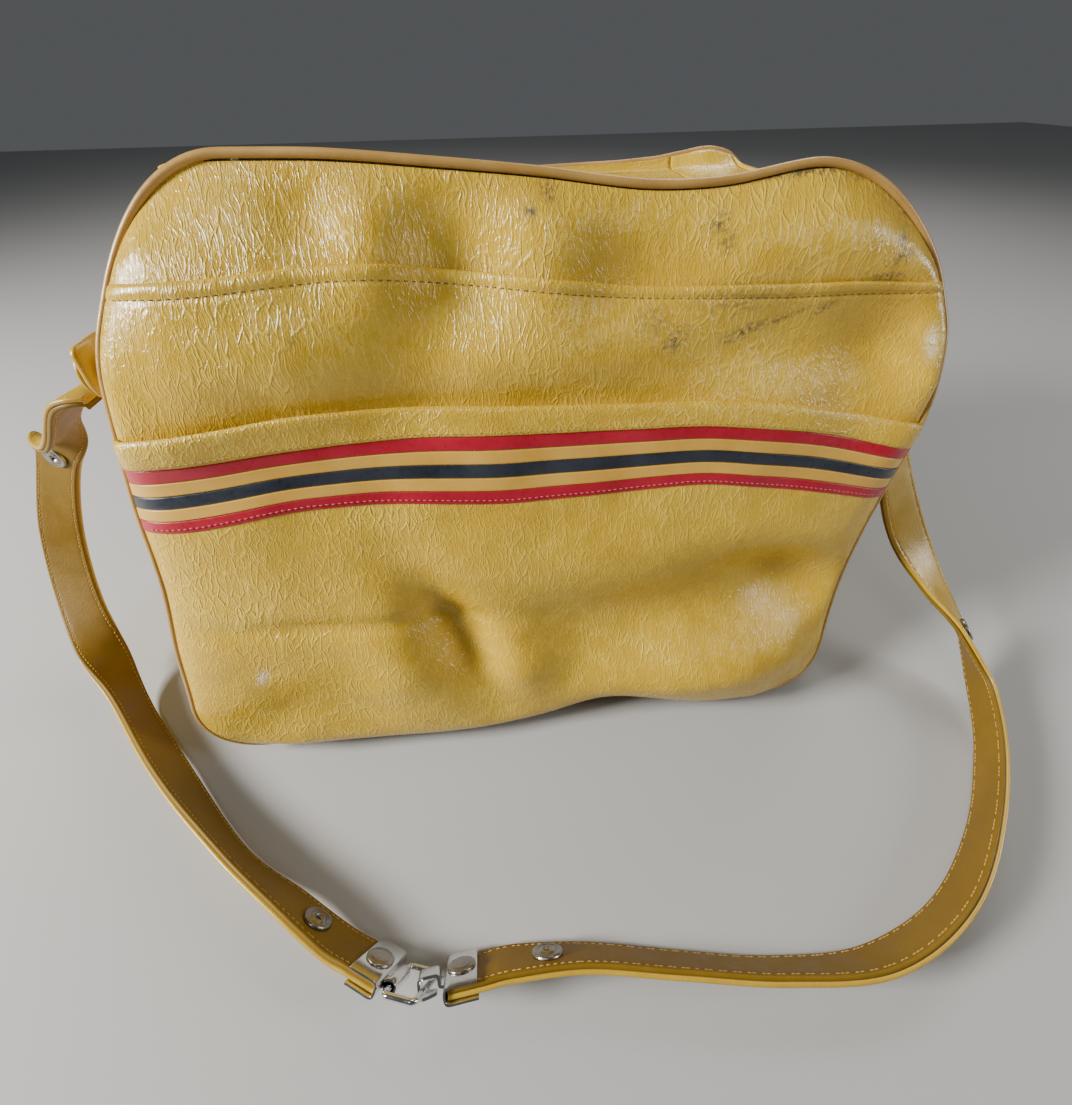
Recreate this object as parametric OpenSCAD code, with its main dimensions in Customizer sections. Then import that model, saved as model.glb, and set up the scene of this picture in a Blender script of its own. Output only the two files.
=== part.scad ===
// Soft-sided bowling ball bag: wedge-shaped vinyl body with a striped front pocket,
// a zip top and a two-part shoulder strap joined by a hook and ring.
// Origin: middle of the flat base on the ground. X right, Y to the back, Z up.

/* [Bag body] */
// Half width of the panels, measured to the piping centreline
half_w = 202; // [180:1:225]
// Depth of the base, front edge to back edge
bag_d = 226; // [200:1:250]
// Length of the front panel along its slope
front_h = 306; // [280:1:330]
// Length of the back panel along its slope
back_h = 286; // [270:1:310]
// Backward lean of the front panel, degrees
front_lean = 15; // [5:1:20]
// Backward lean of the back panel, degrees
back_lean = 4; // [0:1:8]
// Corner radius at the top of the panels
top_r = 80; // [60:1:90]
// Corner radius at the bottom of the panels
base_r = 45; // [35:1:60]
// Thickness of the vinyl with its cloth backing
vinyl_t = 2.4; // [1.6:0.1:3]
// Radius of the piping cord
pipe_r = 3; // [2:0.25:4]
// Height of the side gussets
gusset_h = 289; // [270:1:300]
// How far the side gussets bulge past the piping centreline
side_bulge = 5; // [1:1:12]

/* [Front trim] */
// Height of the lap seam where the front panel covers the yoke, along the slope
yoke_v = 270; // [250:1:280]
// Overlap of the yoke on the panel below it
yoke_lap = 12; // [8:1:16]
// Height of the pocket mouth, along the slope
pocket_v = 210; // [180:1:230]
// Room between the pocket and the panel behind it
pocket_gap = 8; // [6:0.5:12]
// Height of one colour band of the striped trim
band_h = 6.8; // [5:0.1:9]
// Height of the lowest band, along the slope
band_v = 161; // [140:1:175]

/* [Zip top] */
// Height of the top gusset above the ground
zip_z = 274; // [265:1:280]
// Position of the zip between front and back
zip_y = 47; // [40:1:55]
// Half length of the zip opening
zip_half = 115; // [100:1:118]
// Pitch of the zip teeth
tooth_pitch = 3; // [2.5:0.5:5]
// Slider position along the zip when parked
slider_x = 129; // [126:1:132]

/* [Shoulder strap] */
// Strap width
strap_w = 27; // [22:1:32]
// Thickness of one of the two strap layers
layer_t = 2.2; // [1.5:0.1:3]
// Height of the strap pivots above the ground
pivot_z = 224; // [200:1:240]
// Position of the strap pivots between front and back
pivot_y = -28; // [-40:1:0]
// Radius of the pivot rivet shank
pivot_r = 3; // [2:0.25:4]
// Radius of the press stud caps
stud_r = 7.6; // [6:0.1:9]

/* [Clasp] */
// Clasp position, sideways
clasp_x = -86; // [-100:1:-60]
// Clasp position, front to back
clasp_y = -251.5; // [-260:0.5:-230]
// Clasp height above the ground
clasp_z = 17.2; // [14:0.1:24]
// Lean of the clasp, standing on its lower edge, degrees
clasp_tilt = 59; // [40:1:80]
// Turn of the clasp seen from above, degrees
clasp_yaw = -13; // [-30:1:10]
// Angle between the two halves in their own plane, degrees
clasp_a = -20; // [-24:1:0]
// How far each half folds about its bar of the ring, degrees
clasp_fold = 14; // [0:1:20]
// Wire radius of the ring
ring_r = 1.5; // [1:0.1:2]

/* [Hidden] */
$fn = 64;
gap = 0.3;
inset = pipe_r + 0.6;
pw = half_w - inset;
fl = front_lean;
pocket_w0 = pocket_gap + gap;
pocket_w1 = pocket_w0 + 2;
trim_w = pocket_w1 + gap;
steps = 10;
half_gap = 0.4;
gw = half_w + side_bulge;
arc_x = half_w - top_r;
foot_x = half_w - base_r;
tab_x = half_w + side_bulge + 2.4 + gap;

bar_near = -7;
bar_far = 9.05;

// turns about the three axes
function rx(a, v) = [v.x, v.y * cos(a) - v.z * sin(a), v.y * sin(a) + v.z * cos(a)];
function ry(a, v) = [v.x * cos(a) + v.z * sin(a), v.y, v.z * cos(a) - v.x * sin(a)];
function rz(a, v) = [v.x * cos(a) - v.y * sin(a), v.x * sin(a) + v.y * cos(a), v.z];
function clasp_dir(v) = rz(clasp_yaw, rx(-clasp_tilt, v));
function left_clasp(x) = [clasp_x, clasp_y, clasp_z]
  + clasp_dir(rz(clasp_a / 2, [bar_near, 0, 0] + ry(clasp_fold, [x - bar_near, 0, 0])));
function right_clasp(x) = [clasp_x, clasp_y, clasp_z]
  + clasp_dir(rz(-clasp_a / 2, [bar_far, 0, 0] + ry(-clasp_fold, [x - bar_far, 0, 0])));
left_under = clasp_dir(rz(clasp_a / 2, ry(clasp_fold, [0, 0, -1])));
right_under = clasp_dir(rz(-clasp_a / 2, ry(-clasp_fold, [0, 0, -1])));

// strap centre line, left half: position and outward face normal
left_path = [
  [-215.8, -28, 213], [-230, -27, 212], [-265, -6, 183], [-304, 26, 150], [-330, 15, 96],
  [-325, -22, 47.5], [-292, -72, 17], [-240, -132, 15], [-190, -182, 16], [-150, -212, 17.8],
  left_clasp(-44), left_clasp(-28), left_clasp(-12)];
left_face = [
  [-0.1, 0, 1], [-0.3, 0.05, 0.95], [-0.64, 0.03, 0.77], [0.32, 0.95, 0], [-0.04, 0.91, -0.41],
  [-0.15, 0.63, -0.76], [-0.74, -0.43, -0.51], [-0.64, -0.59, -0.5], [-0.63, -0.72, -0.28],
  [-0.54, -0.72, -0.45], left_under, left_under, left_under];
// right half, from the clasp back up to the pivot
right_path = [
  right_clasp(18.3), right_clasp(34), right_clasp(49.7), [-1, -252, 14.5], [42, -260, 14.3],
  [89, -268, 14.3], [139, -270, 14.3], [189, -254, 15], [234, -221, 15], [271, -180, 15],
  [291, -142, 21], [285, -113, 45], [274, -84, 64], [255, -57, 96], [233, -38, 148], [215.8, -28, 215]];
right_face = [
  right_under, right_under, right_under, [-0.11, -0.89, -0.44], [-0.16, -0.9, -0.41],
  [-0.1, -0.91, -0.4], [0.13, -0.89, -0.43], [0.44, -0.85, -0.29], [0.66, -0.74, -0.11],
  [0.81, -0.58, -0.04], [0.95, -0.26, 0.15], [0.72, -0.27, 0.64], [0.36, -0.51, 0.78],
  [0.08, -0.86, 0.51], [0.48, -0.8, 0.35], [1, 0, 0]];

// rounded panel outline, v0 to v1 high
module outline(hw, v0, v1, rt, rb) {
  translate([-hw, v0 + rb]) square([2 * hw, v1 - rt - v0 - rb]);
  translate([-(hw - rt), v0 + rb]) square([2 * (hw - rt), v1 - v0 - rb]);
  translate([-(hw - rb), v0]) square([2 * (hw - rb), rb + 1]);
  for (s = [-1, 1]) {
    translate([s * (hw - rt), v1 - rt]) circle(r = rt, $fn = 96);
    translate([s * (hw - rb), v0 + rb]) circle(r = rb, $fn = 96);
  }
}

// frames whose z points out of the front or back panel
module front_frame() translate([0, -bag_d / 2, 0]) rotate([90 - fl, 0, 0]) children();
module back_frame() rotate([0, 0, 180]) translate([0, -bag_d / 2, 0])
  rotate([90 + back_lean, 0, 0]) children();

// panel plate between two depths, trimmed to a height range
module plate(h, w0, w1, va, vb) {
  translate([0, 0, w0]) linear_extrude(w1 - w0) intersection() {
    outline(pw, 4 + inset, h - inset, top_r - inset, base_r - inset);
    translate([-300, va]) square([600, vb - va]);
  }
}

// round cord along the panel outline
module cord_ring(h) {
  v0 = 4;
  for (s = [-1, 1]) {
    translate([s * half_w, v0 + base_r, 0]) rotate([-90, 0, 0])
      cylinder(r = pipe_r, h = h - top_r - v0 - base_r);
    translate([s * (half_w - top_r), h - top_r, 0]) rotate([0, 0, s > 0 ? 0 : 90])
      rotate_extrude(angle = 90, $fn = 96) translate([top_r, 0]) circle(r = pipe_r, $fn = 32);
    translate([s * (half_w - base_r), v0 + base_r, 0]) rotate([0, 0, s > 0 ? -90 : 180])
      rotate_extrude(angle = 90, $fn = 96) translate([base_r, 0]) circle(r = pipe_r, $fn = 32);
  }
  translate([-(half_w - top_r), h, 0]) rotate([0, 90, 0])
    cylinder(r = pipe_r, h = 2 * (half_w - top_r));
  translate([-(half_w - base_r), v0, 0]) rotate([0, 90, 0])
    cylinder(r = pipe_r, h = 2 * (half_w - base_r));
}

// side wall with its upper and lower corners, s is the side
module gusset(s) difference() {
  intersection() {
    rotate([90, 0, 0]) translate([0, 0, -300]) linear_extrude(600) difference() {
      outline(gw, 0, gusset_h, gw - arc_x, gw - foot_x);
      outline(gw - vinyl_t, vinyl_t, gusset_h - vinyl_t, gw - arc_x - vinyl_t, gw - foot_x - vinyl_t);
      translate([-foot_x, -10]) square([2 * foot_x, 100]);
      translate([-arc_x, 150]) square([2 * arc_x, 200]);
      translate([s > 0 ? -300 : 0, -10]) square([300, 400]);
    }
    front_frame() translate([-400, -100, -403.4 - gap]) cube([800, 700, 400]);
    back_frame() translate([-400, -100, -403.4 - gap]) cube([800, 700, 400]);
  }
  // step that the lapped yoke edge lies in
  front_frame() translate([-400, yoke_v - yoke_lap - 1, -5.5]) cube([800, 100, 12]);
  // slot where the zip runs out under the corner
  translate([s > 0 ? arc_x - 5 : -152, zip_y - 12, 230]) cube([152 - arc_x + 5, 24, 100]);
}

// vector helpers
function unit(v) = v / norm(v);
function cr(p0, p1, p2, p3, t) = 0.5 * (2 * p1 + (p2 - p0) * t
  + (2 * p0 - 5 * p1 + 4 * p2 - p3) * t * t + (3 * p1 - p0 - 3 * p2 + p3) * t * t * t);
function at(P, i) = i < 0 ? 2 * P[0] - P[1]
  : i >= len(P) ? 2 * P[len(P) - 1] - P[len(P) - 2] : P[i];
function spline(P, k) = let (i = min(floor(k / steps), len(P) - 2), t = k / steps - i)
  cr(at(P, i - 1), P[i], P[i + 1], at(P, i + 2), t);
function tangent(P, k) = let (n = (len(P) - 1) * steps)
  unit(spline(P, min(k + 0.5, n)) - spline(P, max(k - 0.5, 0)));
function frame_at(P, F, k) = let (c = spline(P, k), t = tangent(P, k),
  f = spline(F, k), n = unit(f - t * (f * t)), w = cross(t, n)) [c, n, w];

// flat ribbon swept along a path, between two depths along its face normal
module ribbon(P, F, d0, d1, w) {
  n = (len(P) - 1) * steps;
  pts = [for (k = [0:n]) let (q = frame_at(P, F, k)) each [
    q[0] + q[1] * d0 - q[2] * w / 2, q[0] + q[1] * d0 + q[2] * w / 2,
    q[0] + q[1] * d1 + q[2] * w / 2, q[0] + q[1] * d1 - q[2] * w / 2]];
  faces = concat([[0, 1, 2], [0, 2, 3]],
    [for (k = [0:n - 1], j = [0:3]) each let (a = 4 * k + j, b = 4 * k + (j + 1) % 4)
      j == 2 ? [[a, a + 4, b], [a + 4, b + 4, b]] : [[a, a + 4, b + 4], [a, b + 4, b]]],
    [[4 * n, 4 * n + 2, 4 * n + 1], [4 * n, 4 * n + 3, 4 * n + 2]]);
  polyhedron(points = pts, faces = faces, convexity = 10);
}

// disc standing on the strap at path station k, on the outer (1) or inner (-1) face
module on_strap(P, F, k, side) {
  q = frame_at(P, F, k);
  n = q[1] * side;
  translate(q[0] + n * (layer_t + half_gap + gap)) rotate([0, acos(n[2]), atan2(n[1], n[0])]) children();
}

module press_stud() {
  cylinder(r = stud_r, h = 1.2);
  translate([0, 0, 1.2]) cylinder(r = stud_r - 1.6, h = 0.9);
}

module front_panel() color("goldenrod") front_frame()
  plate(front_h, -vinyl_t, 0, 0, yoke_v);

module front_yoke() color("goldenrod") front_frame()
  plate(front_h, -2 * vinyl_t - gap, -vinyl_t - gap, yoke_v - yoke_lap, 400);

module front_pocket() color("goldenrod") front_frame() {
  difference() {
    translate([0, 0, gap]) linear_extrude(pocket_w1 - gap) intersection() {
      outline(pw - 1, 5 + inset, front_h, top_r, base_r - inset - 1);
      translate([-300, 0]) square([600, pocket_v]);
    }
    translate([0, 0, -1]) linear_extrude(pocket_w0 + 1)
      outline(pw - 4, 8 + inset, front_h + 50, top_r, base_r - inset - 4);
  }
}

module pocket_facing() color("goldenrod") front_frame() {
  translate([-(pw - 1), band_v + 5 * (band_h + 0.2) + gap, trim_w])
    cube([2 * (pw - 1), pocket_v + 2.2 - band_v - 5 * (band_h + 0.2) - gap, 1.2]);
  translate([-(pw - 1), pocket_v + 2.2, trim_w - 0.7]) rotate([0, 90, 0])
    cylinder(r = 1.9, h = 2 * (pw - 1));
}

module band(i) front_frame() translate([-(pw - 1), band_v + i * (band_h + 0.2), trim_w])
  cube([2 * (pw - 1), band_h, 0.9]);
module stripe_crimson() color("crimson") for (i = [0, 4]) band(i);
module stripe_gold() color("gold") for (i = [1, 3]) band(i);
module stripe_navy() color("midnightblue") band(2);

module back_panel() color("goldenrod") back_frame() plate(back_h, -vinyl_t, 0, 0, 400);
module gusset_left() color("goldenrod") gusset(-1);
module gusset_right() color("goldenrod") gusset(1);

module bottom_panel() color("goldenrod")
  translate([-(half_w - base_r) + gap, -bag_d / 2 + 4.6, 0])
    cube([2 * (half_w - base_r) - 2 * gap, bag_d - 9.2, vinyl_t]);

module base_board() color("saddlebrown")
  translate([-150, -98, vinyl_t + gap]) cube([300, 196, 3.5]);

module ball_cradle() color("dimgray") translate([0, 0, vinyl_t + gap + 3.5 + gap]) {
  rotate_extrude($fn = 96) translate([58, 0]) square([11, 6]);
  translate([0, 0, 6]) rotate_extrude($fn = 96) translate([63.5, 0]) circle(r = 5.5, $fn = 32);
}

module piping_front() color("peru") front_frame() cord_ring(front_h);
module piping_back() color("peru") back_frame() cord_ring(back_h);

module top_strip_front() color("goldenrod")
  translate([-zip_half, -33.2, zip_z]) cube([2 * zip_half, 5, vinyl_t]);
module top_strip_back() color("goldenrod")
  translate([-zip_half, 122.2, zip_z]) cube([2 * zip_half, 7, vinyl_t]);
module top_flap_front() color("goldenrod")
  translate([-zip_half, -26.5, zip_z]) cube([2 * zip_half, zip_y - 11 + 26.5, vinyl_t]);
module top_flap_back() color("goldenrod")
  translate([-zip_half, zip_y + 11, zip_z]) cube([2 * zip_half, 120.5 - zip_y - 11, vinyl_t]);

module zip_tape_front() color("tan")
  translate([-zip_half, zip_y - 17, zip_z - 1.2]) cube([2 * zip_half, 12.2, 0.9]);
module zip_tape_back() color("tan")
  translate([-zip_half, zip_y + 4.8, zip_z - 1.2]) cube([2 * zip_half, 12.2, 0.9]);

module teeth(s) {
  count = floor((2 * zip_half - 4) / tooth_pitch);
  for (i = [0:count - 1])
    translate([-zip_half + 2 + i * tooth_pitch, zip_y + (s > 0 ? 1.7 : -4.7), zip_z - 2.2])
      cube([1.7, 3, 2.8]);
}
module zip_teeth_front() color("silver") teeth(-1);
module zip_teeth_back() color("silver") teeth(1);

module zip_end(s) {
  difference() {
    translate([s > 0 ? zip_half + 1.5 : -156, -28, zip_z]) cube([156 - zip_half - 1.5, 150, vinyl_t]);
    translate([s > 0 ? zip_half : -143, zip_y - 11, zip_z - 1]) cube([143 - zip_half, 22, 5]);
  }
}
module zip_end_left() color("goldenrod") zip_end(-1);
module zip_end_right() color("goldenrod") zip_end(1);

module zip_stops() color("silver") for (s = [-1, 1])
  translate([s * 146 - 1.5, zip_y - 6, zip_z + vinyl_t + gap]) cube([3, 12, 1.6]);

module zip_slider() color("silver") translate([slider_x, zip_y, zip_z]) {
  translate([-11, -8, 1.1]) cube([22, 16, 1.6]);
  translate([-11, -8, -4.2]) cube([22, 16, 1.6]);
  translate([4, -1.3, -2.8]) cube([7, 2.6, 4]);
  for (s = [-1, 1]) translate([-2, s * 4.4 - 1, 2.6]) cube([4, 2, 4.4]);
  translate([0, -5, 5.4]) rotate([-90, 0, 0]) cylinder(r = 1.2, h = 10, $fn = 32);
}

module zip_pull() color("silver") translate([slider_x, zip_y, zip_z + 5.4]) difference() {
  union() {
    translate([0, -2.9, 0]) rotate([-90, 0, 0]) cylinder(r = 2.4, h = 5.8, $fn = 32);
    translate([-14, -2.9, -0.8]) cube([13, 5.8, 1.6]);
    translate([-13, 0, -0.8]) cylinder(r = 4, h = 1.6, $fn = 48);
  }
  translate([0, -5, 0]) rotate([-90, 0, 0]) cylinder(r = 1.28, h = 10, $fn = 32);
  translate([-13.2, 0, -3]) cylinder(r = 1.6, h = 6, $fn = 32);
}

// sewn reinforcing tab on each gusset
module tab(s) translate([s > 0 ? tab_x - 2.1 : -tab_x - 0.4, pivot_y, pivot_z]) rotate([0, 90, 0]) {
  cylinder(r = 15, h = 2.5);
  translate([-22, -15, 0]) cube([22, 30, 2.5]);
}
module strap_tab_left() color("goldenrod") tab(-1);
module strap_tab_right() color("goldenrod") tab(1);

module pivot_rivet(s) translate([s * (tab_x + 0.7), pivot_y, pivot_z]) rotate([0, s * 90, 0]) {
  cylinder(r = pivot_r, h = 4.1);
  translate([0, 0, 3.6]) cylinder(r = 7, h = 1.8);
}
module strap_rivets() color("silver") for (s = [-1, 1]) pivot_rivet(s);

module strap_end(s) translate([s * (tab_x + 1.1), pivot_y, pivot_z]) rotate([0, s * 90, 0]) difference() {
  cylinder(r = 12, h = 2.2);
  translate([0, 0, -1]) cylinder(r = pivot_r + 0.07, h = 5);
}
module strap_end_left() color("goldenrod") strap_end(-1);
module strap_end_right() color("goldenrod") strap_end(1);

module strap_left() color("goldenrod") ribbon(left_path, left_face, half_gap, layer_t + half_gap, strap_w);
module strap_left_backing() color("darkgoldenrod")
  ribbon(left_path, left_face, -layer_t - half_gap, -half_gap, strap_w);
module strap_right() color("goldenrod") ribbon(right_path, right_face, half_gap, layer_t + half_gap, strap_w);
module strap_right_backing() color("darkgoldenrod")
  ribbon(right_path, right_face, -layer_t - half_gap, -half_gap, strap_w);

module strap_studs() color("silver") {
  on_strap(left_path, left_face, 3 * steps, -1) press_stud();
  on_strap(left_path, left_face, 9.5 * steps, -1) press_stud();
  on_strap(right_path, right_face, 2.5 * steps, -1) press_stud();
  on_strap(right_path, right_face, 11 * steps, 1) press_stud();
}

// the two halves of the clasp meet at a small angle and fold about the ring's bars
module clasp_mid(a) translate([clasp_x, clasp_y, clasp_z]) rotate([0, 0, clasp_yaw])
  rotate([-clasp_tilt, 0, 0]) rotate([0, 0, a]) children();
module clasp_left() clasp_mid(clasp_a / 2) translate([bar_near, 0, 0]) rotate([0, clasp_fold, 0])
  translate([-bar_near, 0, 0]) children();
module clasp_right() clasp_mid(-clasp_a / 2) translate([bar_far, 0, 0]) rotate([0, -clasp_fold, 0])
  translate([-bar_far, 0, 0]) children();

// folded plate around a strap end, open at the far end
module fold_plate() difference() {
  translate([0, -strap_w / 2 - 1.6, -3.9]) cube([15.5, strap_w + 3.2, 7.8]);
  translate([1.4, -strap_w / 2 - 0.6, -3]) cube([15.1, strap_w + 1.2, 6]);
}
module clasp_plate_left() color("silver") clasp_left() difference() {
  union() {
    translate([-10.5, 0, 0]) rotate([0, 0, 180]) fold_plate();
    translate([-7, -7, 0]) rotate([-90, 0, 0]) cylinder(r = 3.1, h = 14, $fn = 48);
    translate([-11, -7, -1]) cube([3, 14, 2]);
  }
  translate([-7, -20, 0]) rotate([-90, 0, 0]) cylinder(r = ring_r + 0.08, h = 40, $fn = 48);
}
module clasp_plate_right() color("silver") clasp_right() translate([16.5, 0, 0]) fold_plate();

module flat_rivet() translate([0, 0, 3.9 + gap]) {
  cylinder(r = 6.8, h = 1.2);
  translate([0, 0, 1.2]) cylinder(r = 4.6, h = 0.9);
}
module clasp_rivets() color("silver") {
  clasp_left() translate([-18.5, 0, 0]) flat_rivet();
  clasp_right() translate([24.5, 0, 0]) flat_rivet();
}

module clasp_ring() color("silver") clasp_mid(clasp_a / 2) {
  for (x = [-7, 8.5]) translate([x, -10.5, 0]) rotate([-90, 0, 0]) cylinder(r = ring_r, h = 21, $fn = 48);
  for (s = [-1, 1]) translate([-4.5, s * 13, 0]) rotate([0, 90, 0])
    cylinder(r = ring_r, h = 10.5, $fn = 48);
  for (q = [[6, 10.5, 0], [-4.5, 10.5, 90], [-4.5, -10.5, 180], [6, -10.5, 270]])
    translate([q[0], q[1], 0]) rotate([0, 0, q[2]]) rotate_extrude(angle = 90, $fn = 64)
      translate([2.5, 0]) circle(r = ring_r, $fn = 48);
}

module clasp_hook() color("silver") clasp_right() {
  translate([3.7, -3, 3.5]) cube([10.8, 6, 1.5]);
  translate([3.7, -3, -5]) cube([1.5, 6, 10]);
  translate([3.7, -3, -5]) cube([7.8, 6, 1.5]);
  translate([13, -3, -1.6]) cube([1.5, 6, 6.6]);
  translate([13, -3, -1.6]) cube([3.2, 6, 1.6]);
}

front_panel();
front_yoke();
front_pocket();
pocket_facing();
stripe_crimson();
stripe_gold();
stripe_navy();
back_panel();
gusset_left();
gusset_right();
bottom_panel();
base_board();
ball_cradle();
piping_front();
piping_back();
top_strip_front();
top_strip_back();
top_flap_front();
top_flap_back();
zip_tape_front();
zip_tape_back();
zip_teeth_front();
zip_teeth_back();
zip_end_left();
zip_end_right();
zip_stops();
zip_slider();
zip_pull();
strap_tab_left();
strap_tab_right();
strap_rivets();
strap_end_left();
strap_end_right();
strap_left();
strap_left_backing();
strap_right();
strap_right_backing();
strap_studs();
clasp_plate_left();
clasp_plate_right();
clasp_rivets();
clasp_ring();
clasp_hook();
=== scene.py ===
import bpy
import math
import numpy as np
from mathutils import Matrix, Vector


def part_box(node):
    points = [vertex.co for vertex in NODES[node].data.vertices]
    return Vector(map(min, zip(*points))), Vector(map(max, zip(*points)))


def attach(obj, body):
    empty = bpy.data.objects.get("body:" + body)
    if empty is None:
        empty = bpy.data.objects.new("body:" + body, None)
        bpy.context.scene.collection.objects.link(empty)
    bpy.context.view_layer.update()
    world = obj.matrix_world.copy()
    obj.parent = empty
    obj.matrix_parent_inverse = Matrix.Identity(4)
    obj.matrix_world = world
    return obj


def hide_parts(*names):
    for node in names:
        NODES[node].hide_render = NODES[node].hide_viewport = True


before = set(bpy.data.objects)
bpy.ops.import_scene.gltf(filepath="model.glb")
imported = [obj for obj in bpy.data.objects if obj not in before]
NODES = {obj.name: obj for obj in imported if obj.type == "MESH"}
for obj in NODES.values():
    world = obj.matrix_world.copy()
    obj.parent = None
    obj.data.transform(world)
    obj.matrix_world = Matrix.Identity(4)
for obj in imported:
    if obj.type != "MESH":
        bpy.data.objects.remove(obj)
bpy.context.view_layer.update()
MM = 0.001
rng = np.random.default_rng(7)

# ---------------------------------------------------------------- camera
CAM_AT = (-0.0266, -0.2881, 0.327)
yaw, pitch, roll = math.radians(6.1), math.radians(44.0), math.radians(-1.06)
ahead = Vector((math.sin(yaw), math.cos(yaw), 0))
right = Vector((math.cos(yaw), -math.sin(yaw), 0))
forward = ahead * math.cos(pitch) - Vector((0, 0, math.sin(pitch)))
down = -ahead * math.sin(pitch) - Vector((0, 0, math.cos(pitch)))
cam_x = right * math.cos(roll) - down * math.sin(roll)
cam_down = right * math.sin(roll) + down * math.cos(roll)
cam_data = bpy.data.cameras.new("camera")
cam_data.lens = 16.354
cam_data.sensor_width = 36
cam_data.clip_start = 0.01
cam = bpy.data.objects.new("camera", cam_data)
bpy.context.scene.collection.objects.link(cam)
cam.matrix_world = Matrix.Translation(CAM_AT) @ Matrix((cam_x, -cam_down, -forward)).transposed().to_4x4()
bpy.context.scene.camera = cam

# ---------------------------------------------------------------- dimensions, mm, as in the part
b_lo, b_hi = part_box("bottom_panel")
HALF_W, BAG_D = 202.0, (b_hi.y - b_lo.y) / MM + 9.2
FRONT_H, BACK_H = 306.0, 286.0
LEAN, BACK = math.radians(15), math.radians(4)
TOP_R, BASE_R = 80.0, 45.0
ZIP_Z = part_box("top_flap_front")[0].z / MM
ZIP_Y = 47.0


# ---------------------------------------------------------------- mesh helpers
def link(obj):
    bpy.context.scene.collection.objects.link(obj)
    return obj


def mesh_obj(name, verts, faces, mats, uv=None, smooth=True):
    me = bpy.data.meshes.new(name)
    me.from_pydata([tuple(v) for v in verts], [], [tuple(f) for f in faces])
    me.update()
    if uv is not None:
        layer = me.uv_layers.new(name="UVMap")
        idx = np.empty(len(me.loops), dtype=np.int32)
        me.loops.foreach_get("vertex_index", idx)
        layer.data.foreach_set("uv", np.asarray(uv, dtype=np.float32)[idx].ravel())
    for m in mats:
        me.materials.append(m)
    if smooth:
        me.polygons.foreach_set("use_smooth", [True] * len(me.polygons))
    return link(bpy.data.objects.new(name, me))


def grid(name, P, UV, mats, out=None, closed=False, holes=None, attrs=None):
    """P is m x n x 3 in mm, UV is m x n x 2 in mm. out is a vector the faces should look along."""
    m, n = P.shape[:2]
    V = P.reshape(-1, 3) * MM
    F = []
    for i in range(m - 1):
        for j in range(n if closed else n - 1):
            k = (j + 1) % n
            if holes is not None and holes[i, j]:
                continue
            F.append((i * n + j, i * n + k, (i + 1) * n + k, (i + 1) * n + j))
    if out is not None:
        f = F[len(F) // 2]
        nn = np.cross(V[f[1]] - V[f[0]], V[f[3]] - V[f[0]])
        if np.dot(nn, out) < 0:
            F = [g[::-1] for g in F]
    o = mesh_obj(name, V, F, mats, UV.reshape(-1, 2) * MM)
    for key, val in (attrs or {}).items():
        a = o.data.attributes.new(key, "FLOAT", "POINT")
        a.data.foreach_set("value", val.reshape(-1).astype(np.float32))
    return o


def thick(o, t, lining=False, offset=-1.0):
    s = o.modifiers.new("thick", "SOLIDIFY")
    s.thickness = t * MM
    s.offset = offset
    s.use_even_offset = False
    if lining:
        s.material_offset = 1
        s.material_offset_rim = 0
    return o


def own(o, node, body="bag"):
    """a piece of the given body that stands in for a node, or for none"""
    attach(o, body)
    if node:
        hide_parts(node)
    return o


def tube(name, path, r, mat, closed=False, sides=14, caps=True, r_of=None):
    P = np.asarray(path, float)
    n = len(P)
    T = np.roll(P, -1, 0) - np.roll(P, 1, 0)
    if not closed:
        T[0], T[-1] = P[1] - P[0], P[-1] - P[-2]
    T /= np.linalg.norm(T, axis=1)[:, None]
    A = np.cross(T[0], [0.3, 0.9, 0.2])
    A /= np.linalg.norm(A)
    L = np.r_[0, np.cumsum(np.linalg.norm(np.diff(P, axis=0), axis=1))]
    frames = []
    for i in range(n):
        A = A - T[i] * A.dot(T[i])
        A /= np.linalg.norm(A)
        frames.append((A.copy(), np.cross(T[i], A)))
    if closed:
        a0, b0 = frames[0]
        A = A - T[0] * A.dot(T[0])
        A /= np.linalg.norm(A)
        twist = math.atan2(A.dot(b0), A.dot(a0))
        frames = [(a * math.cos(-twist * i / n) + b * math.sin(-twist * i / n),
                   -a * math.sin(-twist * i / n) + b * math.cos(-twist * i / n))
                  for i, (a, b) in enumerate(frames)]
    ang = np.linspace(0, 2 * math.pi, sides, endpoint=False)
    V, UV = [], []
    for i in range(n):
        rr = r if r_of is None else r_of(i / (n - 1)) * r
        for a in ang:
            V.append((P[i] + (frames[i][0] * math.cos(a) + frames[i][1] * math.sin(a)) * rr) * MM)
            UV.append((L[i] * MM, a * r * MM))
    F = []
    for i in range(n if closed else n - 1):
        k = (i + 1) % n
        for j in range(sides):
            q = (j + 1) % sides
            F.append((i * sides + j, i * sides + q, k * sides + q, k * sides + j))
    if not closed and caps:
        F.append(tuple(range(sides))[::-1])
        F.append(tuple((n - 1) * sides + j for j in range(sides)))
    return mesh_obj(name, V, F, [mat], UV)


def lathe(profile, place, sides=40):
    """profile is (r, z) in mm, from the axis outwards and back to the axis."""
    V, F = [], []
    ang = np.linspace(0, 2 * math.pi, sides, endpoint=False)
    n = len(profile)
    for r, z in profile:
        for a in ang:
            V.append(place @ Vector((max(r, 0.01) * math.cos(a) * MM, max(r, 0.01) * math.sin(a) * MM,
                                     z * MM)))
    for i in range(n - 1):
        for j in range(sides):
            q = (j + 1) % sides
            F.append((i * sides + j, i * sides + q, (i + 1) * sides + q, (i + 1) * sides + j))
    F.append(tuple(range(sides))[::-1])
    F.append(tuple((n - 1) * sides + j for j in range(sides)))
    return V, F


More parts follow.
